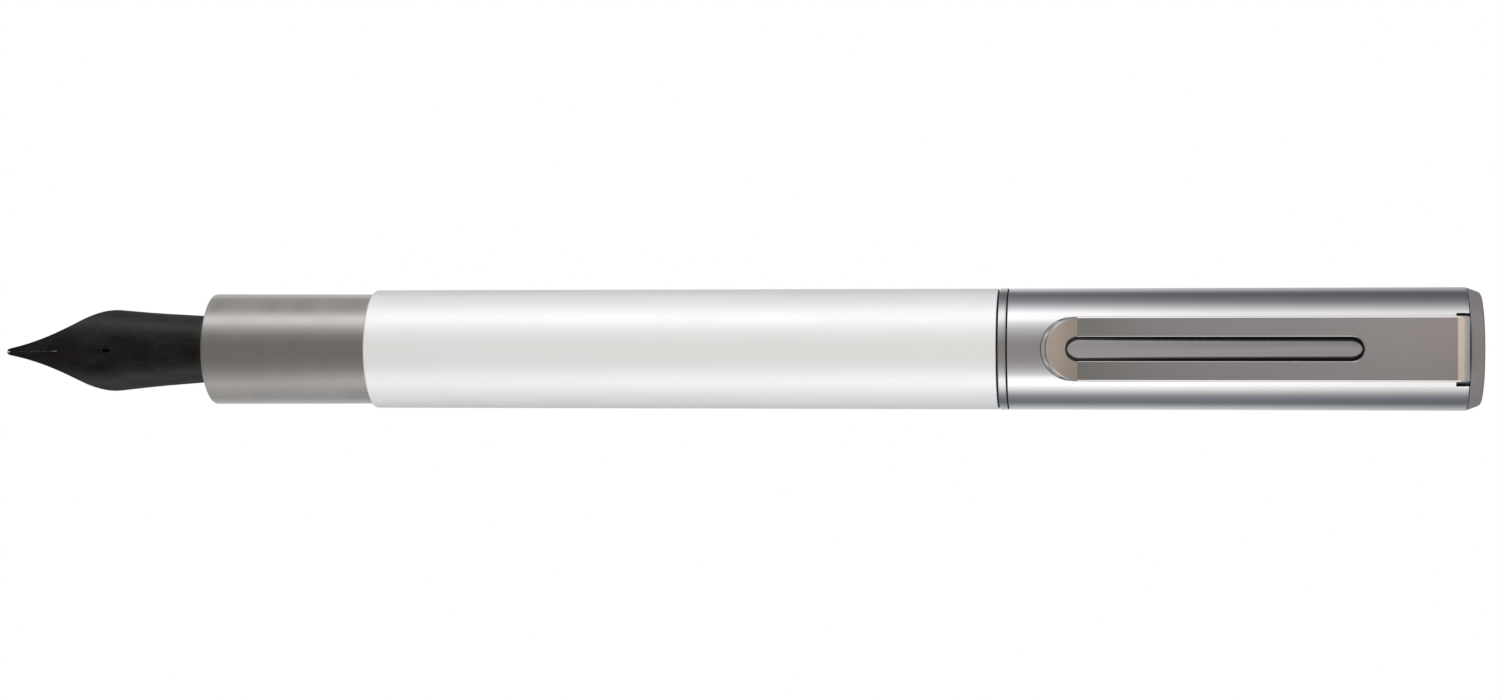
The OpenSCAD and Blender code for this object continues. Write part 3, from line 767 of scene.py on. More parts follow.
def tipping():
    """A rounded pellet on each tine."""
    radii = (.40, .36, .34)
    half_gap, centre_x, centre_z = .03, NIB_TIP + .40, .42
    bm = bmesh.new()
    for side in (1, -1):
        part = bmesh.new()
        bmesh.ops.create_uvsphere(part, u_segments=40, v_segments=28, radius=1)
        for v in part.verts:
            v.co = Vector([value * r for value, r in zip(v.co, radii)])
        bmesh.ops.bisect_plane(part, geom=part.verts[:] + part.edges[:] + part.faces[:],
                               dist=1e-6, plane_co=(0, half_gap * side, 0),
                               plane_no=(0, -side, 0), clear_outer=True)
        rim = [e for e in part.edges if len(e.link_faces) == 1]
        bmesh.ops.holes_fill(part, edges=rim)
        absorb(bm, part)
    for v in bm.verts:
        v.co = Vector(point(centre_x + v.co.x, v.co.y + lean(centre_x), centre_z + v.co.z))
    bmesh.ops.recalc_face_normals(bm, faces=bm.faces[:])
    finish_mesh("nib_tipping_pellets", bm, "nib_tipping", 60)


tipping()


# ---------------------------------------------------------------- feed
FEED_FRONT = NIB_TIP + 5.45
# (x, height of the underside)
FEED_BOTTOM = [(FEED_FRONT, -.1), (NIB_TIP + 6, -.62), (NIB_TIP + 7.5, -1.45),
               (NIB_TIP + 10, -2.45), (NIB_TIP + 13.5, -3.1), (GRIP_FRONT - 1.2, -3.3),
               (GRIP_FRONT, -3.46), (NIB_REAR, -3.46)]
# (x, half width)
FEED_PLAN = [(FEED_FRONT, .5), (NIB_TIP + 6, .95), (NIB_TIP + 7.5, 1.6), (NIB_TIP + 10, 2.4),
             (NIB_TIP + 13.5, 2.9), (NIB_TIP + 17, 3.08), (GRIP_FRONT - 1.2, 3.2),
             (GRIP_FRONT - .2, 3.3), (NIB_REAR, 3.4)]


def eased(x, stations):
    """Through the stations, averaged over a short stretch so that no corner shows."""
    xs, values = zip(*stations)
    reach = min(.9, max(0.0, x - xs[0]))
    return float(np.mean([np.interp(x + reach * k / 6, xs, values) for k in range(-6, 7)]))


def feed_section(x, in_slot):
    """Outline of the feed at x as (y, z), from the top centre round by +Y."""
    spine_r, body_r, channel = 1.7, 3.46, .16
    width, bottom = eased(x, FEED_PLAN), eased(x, FEED_BOTTOM)

    def top(y):
        # follows the nib's underside, then a plain cylinder
        return nib_z(x, y, .36) if x < GRIP_FRONT + 1 else sqrt(3.10 ** 2 - min(y, 3.09) ** 2)

    depth = .7 if x > NIB_TIP + 6.2 else .35
    half = [(0, top(0) - depth), (channel, top(channel) - depth), (channel, top(channel))]
    top_width = min(width - .05, 2.9 if x < GRIP_FRONT else 3.0)
    for k in range(1, 13):
        y = channel + (top_width - channel) * k / 12
        half.append((y, top(y)))
    side_z = half[-1][1]
    height = max(side_z - bottom, .05)
    # side and belly: a superellipse down to the bottom centre
    for k in range(1, 18):
        a = pi / 2 * k / 17
        y = width * cos(a) ** .62 if k < 17 else 0
        z = side_z - height * sin(a) ** .8
        if y * y + z * z > body_r * body_r:
            scale = body_r / hypot(y, z)
            y, z = y * scale, z * scale
        half.append((y, max(z, bottom)))
    if in_slot:
        # between fins only the spine is left
        for i, (y, z) in enumerate(half):
            if z < side_z - .25 * height or y > spine_r:
                scale = min(1.0, spine_r / max(hypot(y, z), 1e-6))
                half[i] = (y * scale, z * scale)
    return half + [(-y, z) for y, z in reversed(half[1:-1])]


def feed():
    slot_end, slot_pitch, slot_width, flank = GRIP_FRONT - 1.6, .74, .34, .012
    slots = [(slot_end - i * slot_pitch - slot_width, slot_end - i * slot_pitch)
             for i in range(13)]
    xs = (set(np.linspace(FEED_FRONT, NIB_TIP + 8, 14))
          | set(np.linspace(NIB_TIP + 8, GRIP_FRONT - 1.2, 40))
          | set(np.linspace(GRIP_FRONT - 1.2, NIB_REAR, 24)))
    rows = [(x, 0) for x in xs if not any(a - .03 < x < b + .03 for a, b in slots)]
    for a, b in slots:
        rows += [(a - flank, 0), (a, 1), ((a + b) / 2, 1), (b, 1), (b + flank, 0)]
    rings = [[point(x, y + lean(x), z) for y, z in feed_section(x, in_slot)]
             for x, in_slot in sorted(rows)]
    make("ink_feed", *loft(rings), "feed", sharp=38)


feed()


# ---------------------------------------------------------------- converter
SOCKET_FRONT = x_start("converter_socket")
TANK_START, TANK_END = x_start("converter_reservoir"), x_end("converter_reservoir")
BAND_START, BAND_END = x_start("converter_sleeve"), x_end("converter_sleeve")
NUT_START = x_start("converter_drive_nut")
KNOB_START, KNOB_END = x_start("converter_knob"), x_end("converter_knob")

lathe("converter_mouth", "converter_socket", [
    (SOCKET_FRONT, 1.75, .15), (SOCKET_FRONT, 3.3), (SOCKET_FRONT + .35, 3.62, .2),
    (.99, 3.62, .1), (.99, 2.74), (2.7, 2.74, .1), (3.0, 2.5, .1), (3.0, .9, .1), (.9, .9),
    (.7, 1.43), (SOCKET_FRONT + .3, 1.43)], segments=96)
lathe("converter_barrel_clear", "converter_reservoir", [
    (TANK_START, 2.75, .08), (TANK_START, 3.4, .12), (TANK_END, 3.4, .12),
    (TANK_END, 2.75, .08)])
lathe("converter_band", "converter_sleeve", [
    (BAND_START, 3.41), (BAND_START, 3.66, .05), (BAND_START + .1, 3.74, .05),
    (BAND_START + 1.6, 3.74, .04), (BAND_START + 1.7, 3.64, .03), (BAND_START + 2.1, 3.64, .03),
    (BAND_START + 2.2, 3.74, .04), (BAND_START + 9, 3.74), (BAND_START + 16, 3.74),
    (BAND_END - 1.3, 3.74, .03), (BAND_END - 1.2, 3.68, .03), (BAND_END - 1.0, 3.68, .03),
    (BAND_END - .9, 3.74, .03), (BAND_END, 3.74, .15), (BAND_END, 3.0, .05),
    (BAND_END - .6, 3.0), (BAND_END - .6, 3.41)])


def guide_bush():
    """A washer whose hole has a flat above and below, to match the rod."""
    x0, x1 = x_start("converter_guide_bush"), x_end("converter_guide_bush")
    hole_r, flat_z = 1.8, 1.33
    angles = [2 * pi * k / 96 for k in range(96)]

    def hole(x):
        return [point(x, hole_r * sin(t), max(-flat_z, min(flat_z, hole_r * cos(t))))
                for t in angles]

    outside = [(x0, 3.3), (x0 + .1, 3.4), (x1 - .1, 3.4), (x1, 3.3)]
    rings = [[around(x, r, t) for t in angles] for x, r in outside] + [hole(x1), hole(x0)]
    make("converter_guide", *loft(rings, closed=True), "converter_guide_bush", sharp=30)


guide_bush()

lathe("converter_nut", "converter_drive_nut", [
    (NUT_START, 1.82, .1), (NUT_START, 3.38, .15), (BAND_END - .7, 3.38, .08),
    (BAND_END - .7, 2.9), (BAND_END + .18, 2.9, .05), (BAND_END + .18, 2.6),
    (BAND_END + 6, 2.6, .15), (BAND_END + 6, 2.1, .05), (TANK_END + 7.2, 2.1),
    (TANK_END + 7, 1.82)], segments=96)


def flutes(x, r, angle):
    """Grooves along the knob; they fade out towards its front collar."""
    count, depth, width = 24, .15, .75
    if r < 2.99:
        return r
    offset = abs((angle * count / (2 * pi)) % 1.0 - .5) * 2
    fade = min(1.0, max(0.0, (x - (KNOB_START + 1.2)) / .35))
    return r - depth * max(0.0, 1 - (offset / width) ** 2) * fade


lathe("converter_knob_fluted", "converter_knob", [
    (KNOB_START, 2.62), (KNOB_START, 2.95, .05), (KNOB_START + .1, 3.5, .12),
    *[(KNOB_START + x, 3.5) for x in (.7, 1.15, 1.3, 1.45, 1.6, 4, 8)],
    (KNOB_END - .9, 3.5), (KNOB_END - .5, 3.5, .15), (KNOB_END, 3.05, .15),
    (KNOB_END, 2.2, .1), (KNOB_END - .15, 1.9, .1), (KNOB_END - .15, 0), (KNOB_END - .8, 0),
    (KNOB_END - .8, 2.1), (BAND_END + 6.1, 2.1), (BAND_END + 6.1, 2.62)],
    segments=288, shape=flutes, sharp=32)


def piston_rod():
    """Quick thread with a flat above and below."""
    x0, x1 = x_start("piston_rod"), x_end("piston_rod")
    shaft = x0 + 2.8
    t0, t1, root = shaft + .7, x1 - .4, 1.5
    screw_thread = thread(t0, t1, root, 1.75, 1.55, fade=.8)

    def shape(x, r, angle):
        r = screw_thread(x, r, angle)
        return min(r, 1.28 / abs(cos(angle))) if x > shaft - 1e-6 else r

    lathe("piston_screw_rod", "piston_rod", [
        (x0, 0), (x0, 1.2, .05), (x0 + .4, 1.55, .05), (x0 + .8, 1.55, .05), (x0 + .9, 1.1),
        (shaft, 1.1), (shaft, root, .05), *span(t0, t1, root, 230), (x1 - .2, root),
        (x1, 1.3, .05), (x1, 0)], segments=96, shape=shape, arc_steps=3, sharp=48)


piston_rod()

SEAL_X = x_start("piston_seal")
lathe("piston_seal_lipped", "piston_seal", [
    (SEAL_X + 3.45, 1.12), (SEAL_X + 1.62, 1.12), (SEAL_X + 1.52, 1.57), (SEAL_X + 1.08, 1.57),
    (SEAL_X + .68, 1.22), (SEAL_X + .68, 0), (SEAL_X, 0), (SEAL_X, 2.3, .2),
    (SEAL_X + .45, 2.73, .15), (SEAL_X + .8, 2.73, .1), (SEAL_X + 1.2, 2.5, .15),
    (SEAL_X + 2.3, 2.5, .15), (SEAL_X + 2.7, 2.73, .1), (SEAL_X + 3.05, 2.73, .15),
    (SEAL_X + 3.45, 2.2, .1)], segments=96)


# ---------------------------------------------------------------- cap
def cap_tube():
    """Built as a rolled plate, so that the clip's notch has clean straight walls."""
    notch_x, notch_half = CAP_END - 1.25, CLIP_HALF_WIDTH + .35
    inner_r = 5.7
    notch_spans, other_spans = 13, 110
    first_x = CAP_START + .12
    xs = [CAP_START, *[first_x + (notch_x - first_x) * k / 10 for k in range(1, 11)],
          notch_x + .45, notch_x + .85, CAP_END]
    notch_row, last_row = 10, len(xs) - 1

    def angles(r):
        """The first notch_spans spans lie in the notch."""
        a0, a1 = -asin((notch_half + .08) / r), asin((notch_half - .08) / r)
        return ([a0 + (a1 - a0) * k / notch_spans for k in range(notch_spans + 1)]
                + [a1 + (2 * pi - a1 + a0) * k / other_spans for k in range(1, other_spans)])

    size = notch_spans + other_spans
    verts = [around(x, r, t) for r in (CAP_R, inner_r) for x in xs for t in angles(r)]
    inner = len(xs) * size
    faces = []
    for base in (0, inner):
        for i in range(last_row):
            quads = ring_quads(base + i * size, base + (i + 1) * size, size)
            faces += quads if i < notch_row else quads[notch_spans:]
    for k in range(size):
        # the rim at either end, and the floor of the notch
        rear = (notch_row if k < notch_spans else last_row) * size
        for row in (0, rear):
            a, b = row + k, row + (k + 1) % size
            faces.append((a, b, inner + b, inner + a))
    for i in range(notch_row, last_row):
        for k in (0, notch_spans):
            a, b = i * size + k, (i + 1) * size + k
            faces.append((a, b, inner + b, inner + a))
    make("cap_tube_shell", verts, faces, "cap_tube", bevel=.06, bevel_segments=3, sharp=35,
         drop_loose=True)


cap_tube()

LINER_START, LINER_END = x_start("inner_cap"), x_end("inner_cap")
lathe("inner_cap_liner", "inner_cap", [
    (LINER_START + .5, 4.75, .2), (LINER_START, 5.1, .1), (LINER_START, 5.5, .1),
    (LINER_START + .25, 5.68, .1), (LINER_END, 5.68, .1), (LINER_END, 1.05),
    (LINER_END - .33, 1.05), (LINER_END - 1.3, 2.02), (LINER_END - 1.3, 4.75, .4)])


def clip_carrier():
    """Keeps its CAD shape, with its edges broken."""
    carrier = frame["nodes"]["clip_carrier"]
    use_slot_material(carrier, "clip_carrier")
    bevel = carrier.modifiers.new("broken_edges", "BEVEL")
    bevel.width = .00004
    bevel.segments = 2
    bevel.limit_method = "ANGLE"
    bevel.angle_limit = radians(50)


clip_carrier()

# the finial's slightly domed end, (distance in from its end, radius)
FINIAL_DOME = [
    (0, 0), (.002, .8), (.006, 1.8), (.012, 2.8), (.02, 3.6), (.028, 4.2), (.038, 4.7),
    (.055, 5.1), (.09, 5.3), (.155, 5.43), (.25, 5.52), (.36, 5.585), (.5, 5.64), (.8, 5.745)]
lathe("finial_turned", "finial", [
    *[(FINIAL_END - depth, r) for depth, r in FINIAL_DOME],
    (CAP_END + .25, 5.92), (CAP_END + .11, 5.965, .03), (CAP_END + .06, 5.94),
    (CAP_END + .06, 5.72), (CAP_END + .01, 5.72), (CAP_END + .01, 2.42),
    (CAP_END - 2.4, 2.42, .15), (CAP_END - 2.4, .97, .05), (CAP_END + .6, .97),
    (CAP_END + .6, 0)],
    # the finial's front face and its seam groove by the cap are painted black, as painted shade
    segments=224, arc_steps=5, sharp=60, dark=lambda x, r: x < CAP_END + .075 and r < 5.9)


def finial_screw():
    """Countersunk screw with a cross recess in its front face."""
    x0, x1 = x_start("finial_screw"), x_end("finial_screw")
    recess, neck = x0 + .4, x0 + .98
    t0, t1, shank_r = neck + .3, x1 - .3, .93
    screw_thread = thread(t0, t1, .78, .945, .35, fade=.3)

    def shape(x, r, angle):
        if abs(x - recess) < .02 and r > .1:
            return r * (1 + 1.8 * abs(cos(2 * angle)) ** 8)
        return screw_thread(x, r, angle)

    lathe("finial_screw_cross", "finial_screw", [
        (recess, 0), (recess, .22), (x0, 1.12), (x0, 1.86, .06), (neck, shank_r),
        *span(t0, t1, shank_r, 70), (x1 - .2, shank_r), (x1, .7, .05), (x1, 0)],
        segments=96, shape=shape, arc_steps=3)


finial_screw()


def hinge_pin():
    stations = [(-3.4, .42), (-3.32, .5), (-1.2, .5), (1.2, .5), (3.32, .5), (3.4, .42)]
    angles = [2 * pi * k / 40 for k in range(40)]
    rings = [[point(PIN_X + r * cos(t), y, PIN_Z + r * sin(t)) for t in angles]
             for y, r in stations]       # stations are (y, radius)
    make("clip_hinge_pin", *loft(rings), "clip_pin")


hinge_pin()


def torsion_spring():
    """Round wire: a coil about the pin between two upright legs."""
    coil_r, wire_r, half_length = .84, .165, .95
    per_turn, wire_count = 40, 14
    steps = int(3.5 * per_turn)
    path = [(PIN_X - coil_r, -half_length, PIN_Z + rise) for rise in (1.2, .9, .5)]
    for i in range(steps + 1):
        a = 2 * pi * i / per_turn + pi
        path.append((PIN_X + coil_r * cos(a), -half_length + 2 * half_length * i / steps,
                     PIN_Z + coil_r * sin(a)))
    path += [(PIN_X + coil_r, half_length, PIN_Z + rise) for rise in (.5, .8, 1.04)]
    path = [Vector(p) for p in path]

    rings, across = [], None
    for i, centre in enumerate(path):
        tangent = (path[min(i + 1, len(path) - 1)] - path[max(i - 1, 0)]).normalized()
        if across is None:
            across = tangent.cross(Vector((0, 1, 0)))
        across = (across - tangent * across.dot(tangent)).normalized()
        other = tangent.cross(across)
        ring = []
        for k in range(wire_count):
            q = 2 * pi * k / wire_count
            ring.append(point(*(centre + (across * cos(q) + other * sin(q)) * wire_r)))
        rings.append(ring)
    make("clip_torsion_spring", *loft(rings), "clip_spring", bevel=wire_r * .3, bevel_angle=60)


torsion_spring()


# ---------------------------------------------------------------- clip
SHEET = .95                             # sheet thickness
NECK_X = CAP_END - .20                  # outer face of the neck, where it goes into the cap
BEND_X = NECK_X + .10                   # the bend stands out a little past the neck
BEND_R, BEND_TOP_Z = 1.4, 7.95
KNEE_X, KNEE_Z = CAP_START + 6.87, CAP_R + .04 + SHEET      # where the free end flares up
FLARE, FLARE_RUN = radians(38), 2.95


def clip_path():
    """Top line of the clip from its free end to the foot of its neck.

    Returns (x, z) points, their normals and the lengths along the line.
    """
    tip = np.array((KNEE_X - FLARE_RUN, KNEE_Z + FLARE_RUN * tan(FLARE)))
    knee = np.array((KNEE_X, KNEE_Z))
    middle = np.array((KNEE_X + 9, KNEE_Z + .72))
    bend = np.array((BEND_X - BEND_R, BEND_TOP_Z))
    line = [tip + (knee - tip) * k / 13 for k in range(13)] + [knee]
    for k in range(1, 61):
        t = .03 + .97 * k / 60
        line.append((1 - t) ** 2 * knee + 2 * (1 - t) * t * middle + t * t * bend)
    bend_z = BEND_TOP_Z - BEND_R
    for k in range(1, 19):
        a = pi / 2 * k / 18
        line.append(np.array((bend[0] + BEND_R * sin(a), bend_z + BEND_R * cos(a))))
    for k in range(1, 6):
        x = NECK_X + (.035 if k == 1 else 0)
        line.append(np.array((x, bend_z - (bend_z - PIN_Z - 1.15) * k / 5)))
    line = np.array(line)
    tangents = np.gradient(line, axis=0)
    tangents /= np.linalg.norm(tangents, axis=1)[:, None]
    normals = np.stack([-tangents[:, 1], tangents[:, 0]], 1)
    steps = np.linalg.norm(np.diff(line, axis=0), axis=1)
    return line, normals, np.concatenate([[0], np.cumsum(steps)])


CLIP_LINE, CLIP_NORMALS, CLIP_LENGTHS = clip_path()
BEND_INDEX = int(np.argmax(CLIP_LINE[:, 0] > BEND_X - BEND_R - .01))


def length_at(x):
    """Length along the clip at x, ahead of the bend."""
    return float(np.interp(x, CLIP_LINE[:BEND_INDEX, 0], CLIP_LENGTHS[:BEND_INDEX]))


def clip_outline(inset):
    """Plan of the blade in (length along it, y): round free end, square foot."""
    half, centre_x = CLIP_HALF_WIDTH - inset, CLIP_LINE[0, 0] + CLIP_HALF_WIDTH
    plan = []
    for k in range(91):
        a = pi / 2 - pi * k / 90
        plan.append((length_at(centre_x - half * cos(a)), -half * sin(a)))
    foot = float(CLIP_LENGTHS[-1])
    return plan + [(foot, half), (foot, -half)]


def clip_window(growth):
    """Plan of the long window; its lower part stands in further at the free end."""
    end_r, x0, length = 1.175, KNEE_X - 1.09, 28.4
    r, inward = end_r + growth, .13 if growth < -.01 else 0
    plan = []
    for centre_x, start, shift in ((x0 + end_r, pi / 2, inward),
                                   (x0 + length - end_r, -pi / 2, 0)):
        for k in range(49):
            a = start + pi * k / 48
            plan.append((length_at(centre_x + r * cos(a) + shift), r * sin(a)))
    return plan


# Each edge from the underside up, (offset in plan, height): a small break, the wall, then
# a chamfer rounded into the top.
OUTLINE_EDGE = [(.05, 0), (0, .06), (0, .20), (0, .45), (0, SHEET - .15), (.02, SHEET - .095),
                (.075, SHEET - .045), (.15, SHEET)]
WINDOW_EDGE = [(-.02, 0), (-.04, .06), (-.04, .45), (-.03, SHEET - .20), (0, SHEET - .10),
               (.008, SHEET - .045), (.028, SHEET - .018), (.062, SHEET)]


def clip_wall(bm, plan, edge, dark_rows):
    """Skins one edge of the flat blade; its lowest dark_rows are painted black, as painted shade.
    """
    dark = bm.faces.layers.int["dark"]
    rows = [[bm.verts.new((s, y, height)) for s, y in plan(offset)] for offset, height in edge]
    for i, (low, high) in enumerate(zip(rows, rows[1:])):
        for k in range(len(low)):
            after = (k + 1) % len(low)
            face = bm.faces.new((low[k], low[after], high[after], high[k]))
            face[dark] = 1 if i < dark_rows else 0
    return rows


def clip_lug(y0, y1):
    """A plate with a round foot and the pin's hole."""
    turn = [radians(8) - radians(205) * k / 24 for k in range(1, 25)]
    circle = [2 * pi * k / 28 for k in range(28)]
    profile = [(NECK_X, PIN_Z + 1.2), (NECK_X, PIN_Z + .1),
               *[(PIN_X + .98 * cos(a), PIN_Z + .98 * sin(a)) for a in turn],
               (NECK_X - SHEET, PIN_Z + 1.2)]
    hole = [(PIN_X + .53 * cos(a), PIN_Z + .53 * sin(a)) for a in circle]
    lug = bmesh.new()
    lug.faces.layers.int.new("dark")
    edges = []
    for plan in (profile, hole):
        verts = [lug.verts.new((x, y0, z)) for x, z in plan]
        edges += [lug.edges.new(pair) for pair in zip(verts, verts[1:] + verts[:1])]
    bmesh.ops.triangle_fill(lug, use_beauty=True, use_dissolve=True, edges=edges)
    extruded = bmesh.ops.extrude_face_region(lug, geom=lug.faces[:])["geom"]
    bmesh.ops.translate(lug, verts=[g for g in extruded if isinstance(g, bmesh.types.BMVert)],
                        vec=(0, y1 - y0, 0))
    for v in lug.verts:
        v.co = Vector(point(*v.co))
    bmesh.ops.recalc_face_normals(lug, faces=lug.faces[:])
    return lug


def clip():
    """Built flat as (length, y, height), then bent along the clip's line."""
    bm = bmesh.new()
    dark = bm.faces.layers.int.new("dark")
    # the lowest rows of the outer wall and of the window's walls are painted black, as painted
    # shade
    walls = (clip_wall(bm, clip_outline, OUTLINE_EDGE, dark_rows=2),
             clip_wall(bm, clip_window, WINDOW_EDGE, dark_rows=4))
    for which in (0, -1):
        edges = []
        for rows in walls:
            row = rows[which]
            edges += [bm.edges.get(pair) for pair in zip(row, row[1:] + row[:1])]
        filled = bmesh.ops.triangle_fill(bm, use_beauty=True, use_dissolve=True, edges=edges)
        # the underside is painted black, as painted shade
        for item in filled["geom"]:
            if isinstance(item, bmesh.types.BMFace):
                item[dark] = 1 if which == 0 else 0
    bmesh.ops.recalc_face_normals(bm, faces=bm.faces[:])
    # cut across at each station of the line, so that it can bend
    for s in CLIP_LENGTHS[1:-1]:
        bmesh.ops.bisect_plane(bm, geom=bm.verts[:] + bm.edges[:] + bm.faces[:], dist=1e-6,
                               plane_co=(float(s), 0, 0), plane_no=(1, 0, 0))
    bmesh.ops.remove_doubles(bm, verts=bm.verts[:], dist=1e-5)
    for v in bm.verts:
        s, y, height = v.co
        on_line, normal = [np.array([np.interp(s, CLIP_LENGTHS, table[:, i]) for i in (0, 1)])
                           for table in (CLIP_LINE, CLIP_NORMALS)]
        normal /= np.linalg.norm(normal)
        x, z = on_line - normal * (SHEET - height)
        v.co = Vector(point(x, y, z))
    # lugs that turn on the pin
    for y0, y1 in ((1.35, 2.2), (-2.2, -1.35)):
        absorb(bm, clip_lug(y0, y1))
    bmesh.ops.recalc_face_normals(bm, faces=bm.faces[:])
    dark = bm.faces.layers.int["dark"]
    for face in bm.faces:
        face.material_index = face[dark]
    ob = finish_mesh("pocket_clip", bm, "clip", 20)
    ob.data.materials.append(PAINTED_SHADE_BLACK)


clip()


# ---------------------------------------------------------------- surroundings
# What the metal mirrors: stops of (degrees from overhead, colour or grey).
OVERHEAD = (.395, .375, .378)
PLUS_Y = [
    (0, OVERHEAD), (12, (.41, .395, .39)), (22, (.49, .48, .485)), (32, .63), (42, .88),
    (50, 1.14), (55, 1.45), (60, 1.68), (70, 1.68), (75, 1.5), (80, 1.22),
    (85, (.95, .955, 1.0)), (90, (.73, .75, .80)), (96, (.51, .53, .57)),
    (104, (.36, .38, .42)), (112, (.275, .29, .32)), (124, (.215, .222, .245)),
    (133, (.25, .26, .285)), (142, (.50, .51, .54)), (152, (.74, .75, .76)), (180, .9)]
MINUS_Y = [
    (0, OVERHEAD), (14, (.41, .39, .385)), (26, (.46, .44, .44)), (36, .58), (44, .80),
    (50, .99), (54, 1.42), (60, 1.68), (66, 1.72), (70, 1.66), (76, 1.42), (82, 1.18),
    (88, .86), (95, (.56, .57, .60)), (102, (.36, .38, .42)), (110, (.28, .30, .335)),
    (122, (.215, .23, .26)), (130, (.36, .38, .40)), (140, (.55, .57, .60)),
    (152, (.70, .72, .75)), (180, .9)]
# what the grip sees, further along towards the nib
PLUS_Y_NIB = [
    (0, OVERHEAD), (12, (.42, .40, .395)), (22, (.50, .49, .49)), (32, .63), (42, .86),
    (50, 1.14), (55, 1.5), (60, 1.78), (66, 1.8), (72, 1.5), (78, 1.05),
    (84, (.63, .635, .65)), (90, (.42, .43, .45)), (98, (.31, .32, .34)),
    (112, (.27, .28, .29)), (124, (.29, .30, .31)), (133, (.37, .375, .38)),
    (142, (.56, .56, .57)), (152, (.85, .85, .86)), (180, 1.1)]
MINUS_Y_NIB = [
    (0, OVERHEAD), (14, (.43, .41, .40)), (30, (.43, .41, .405)), (44, (.41, .40, .39)),
    (54, .37), (62, .39), (70, .52), (76, .80), (82, .93), (88, .74), (95, (.50, .50, .51)),
    (104, (.36, .37, .38)), (114, (.31, .32, .33)), (126, (.32, .33, .34)),
    (136, (.40, .41, .42)), (146, (.56, .57, .58)), (160, .8), (180, 1.0)]
# beyond the cap and beyond the nib
CAP_WARD = [
    (0, OVERHEAD), (5, (.36, .335, .33)), (8, (.33, .24, .20)), (13, (.56, .46, .38)),
    (22, (.775, .67, .575)), (60, (.765, .67, .59)), (72, (.665, .545, .445)),
    (84, (.54, .50, .48)), (96, (.42, .46, .50)), (130, (.38, .42, .47)),
    (155, (.24, .26, .30)), (180, (.3, .3, .32))]
NIB_WARD = [
    (0, OVERHEAD), (6, (.385, .365, .365)), (9, (.29, .285, .27)), (12, (.33, .325, .30)),
    (17, (.43, .42, .40)), (21, .33), (27, .11), (70, .10), (80, .38), (90, .58), (112, .46),
    (125, .8), (140, .4), (180, .5)]
# gain of each side by the X part of the direction
PLUS_Y_GAIN = [(-.30, 1.12), (-.052, 1.0), (0, .79), (.075, .68), (.4, .68)]
MINUS_Y_GAIN = [(-.30, .70), (-.12, .98), (0, .98), (.075, .82), (.4, .8)]


def build_world():
    """Soft boxes on each side and at each end for reflections; plain white to the camera."""
    world = bpy.data.worlds.new("studio")
    scene.world = world
    world.use_nodes = True
    graph = Graph(world.node_tree)
    calc = graph.math
    x, y, z = graph.axes(graph.node("TexCoord").outputs["Generated"])

    def tilt(value):
        """Angle from overhead towards either side of an axis: 0 overhead, 1 straight down."""
        return calc("DIVIDE", calc("ARCTAN2", calc("ABSOLUTE", value), z), pi)

    def degree_ramp(angle, stops):
        return graph.ramp(angle, [(degrees / 180, tone) for degrees, tone in stops])

    def pick(test, negative, positive):
        return graph.mix(calc("GREATER_THAN", test, 0.0), negative, positive)

    side_tilt = tilt(y)
    x_place = calc("ADD", calc("MULTIPLY", x, .5), .5)

    def side(stops, gains, nib_stops):
        gain = graph.ramp(x_place, [((place + 1) / 2, value) for place, value in gains])
        main = graph.mix(1, degree_ramp(side_tilt, stops), gain, blend="MULTIPLY")
        nibward = graph.remap(x, (-.19, -.255), (0.0, 1.0), smooth=True)
        return graph.mix(nibward, main, degree_ramp(side_tilt, nib_stops))

    sides = pick(y, side(MINUS_Y, MINUS_Y_GAIN, MINUS_Y_NIB),
                 side(PLUS_Y, PLUS_Y_GAIN, PLUS_Y_NIB))
    end_tilt = tilt(x)
    ends = pick(x, degree_ramp(end_tilt, NIB_WARD), degree_ramp(end_tilt, CAP_WARD))
    level = calc("SQRT", calc("ADD", calc("MULTIPLY", x, x), calc("MULTIPLY", y, y)))
    endward = calc("DIVIDE", calc("ABSOLUTE", x), calc("ADD", level, 1e-4))
    to_end = graph.remap(endward, (.30, .75), (0.0, 1.0), smooth=True)
    mirrored = graph.node("Background", {0: graph.mix(to_end, sides, ends)})
    white = graph.node("Background", {0: (1, 1, 1, 1)})
    shader = graph.node("MixShader", {
        0: graph.node("LightPath").outputs["Is Camera Ray"],
        1: mirrored.outputs[0], 2: white.outputs[0]})
    graph.node("OutputWorld", {0: shader.outputs[0]})


build_world()


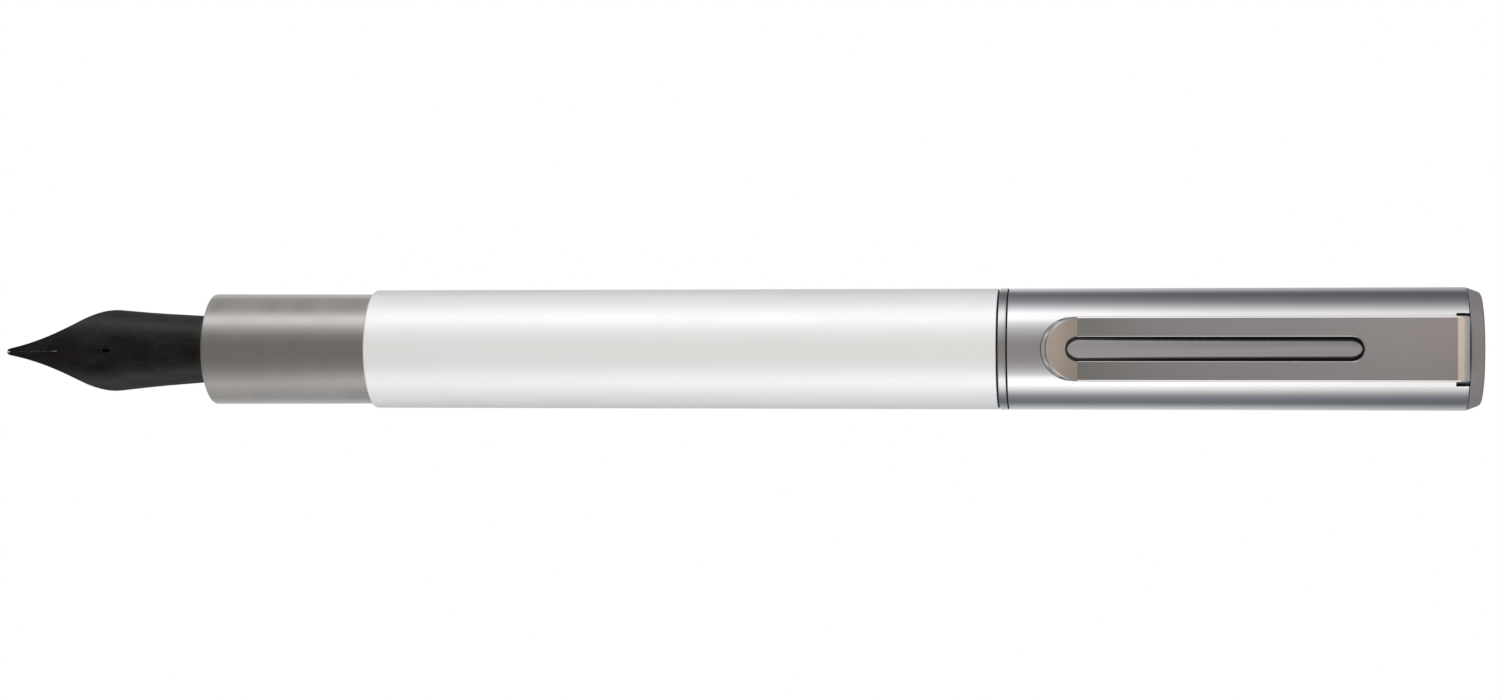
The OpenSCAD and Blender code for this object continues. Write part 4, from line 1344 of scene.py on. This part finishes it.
def build_floor():
    """A glowing white sheet that only the camera sees."""
    paper = bpy.data.materials.new("floor_paper")
    paper.use_nodes = True
    graph = Graph(paper.node_tree)
    # seen from underneath the floor lets the pen show through
    shader = graph.node("MixShader", {
        0: graph.node("NewGeometry").outputs["Backfacing"],
        1: graph.node("Emission", {0: (1, 1, 1, 1)}).outputs[0],
        2: graph.node("BsdfTransparent").outputs[0]})
    graph.node("OutputMaterial", {0: shader.outputs[0]})
    bm = bmesh.new()
    bmesh.ops.create_grid(bm, x_segments=8, y_segments=8, size=1.5)
    for v in bm.verts:
        v.co.z = -cad_high.z - .0002        # clear of the clip when the cap is turned over
    mesh = bpy.data.meshes.new("floor")
    bm.to_mesh(mesh)
    bm.free()
    mesh.materials.append(paper)
    floor = bpy.data.objects.new("floor", mesh)
    scene.collection.objects.link(floor)
    floor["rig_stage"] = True
    floor.visible_glossy = False
    floor.visible_diffuse = False
    floor.visible_transmission = False
    floor.visible_shadow = False


build_floor()


def strip_light(name, y, power):
    """A long soft strip beside the pen, in metres and watts. Polished metal doesn't mirror it."""
    lamp = bpy.data.lights.new(name, "AREA")
    lamp.shape = "RECTANGLE"
    lamp.size = .7
    lamp.size_y = .16
    lamp.energy = power
    ob = bpy.data.objects.new(name, lamp)
    scene.collection.objects.link(ob)
    place = Vector((.01, y, .247))
    back = place.normalized()
    right = Vector((1, 0, 0))
    turn = Matrix((right, back.cross(right), back)).transposed()
    ob.matrix_world = Matrix.Translation(place) @ turn.to_4x4()
    ob.visible_glossy = False
    ob.visible_camera = False
    ob.visible_transmission = False


strip_light("strip_up", y=.38, power=1.50)
strip_light("strip_down", y=-.38, power=1.30)


def build_camera():
    """Above the pen, swung a little towards the cap."""
    lens = bpy.data.cameras.new("camera")
    camera = bpy.data.objects.new("camera", lens)
    scene.collection.objects.link(camera)
    scene.camera = camera
    lens.sensor_width = 36
    lens.lens = 73.488
    lens.clip_start = .01
    lens.clip_end = 10
    swing = radians(8.01)
    right = Vector((cos(swing), 0, -sin(swing)))
    back = Vector((sin(swing), 0, cos(swing)))
    turn = Matrix((right, Vector((0, 1, 0)), back)).transposed()
    camera.matrix_world = Matrix.Translation(Vector(point(81.41, -.1, 305.1))) @ turn.to_4x4()


build_camera()

scene.view_settings.view_transform = "Standard"
scene.view_settings.look = "None"

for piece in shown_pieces():
    if "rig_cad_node" in piece:
        use_slot_material(piece, piece["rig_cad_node"])
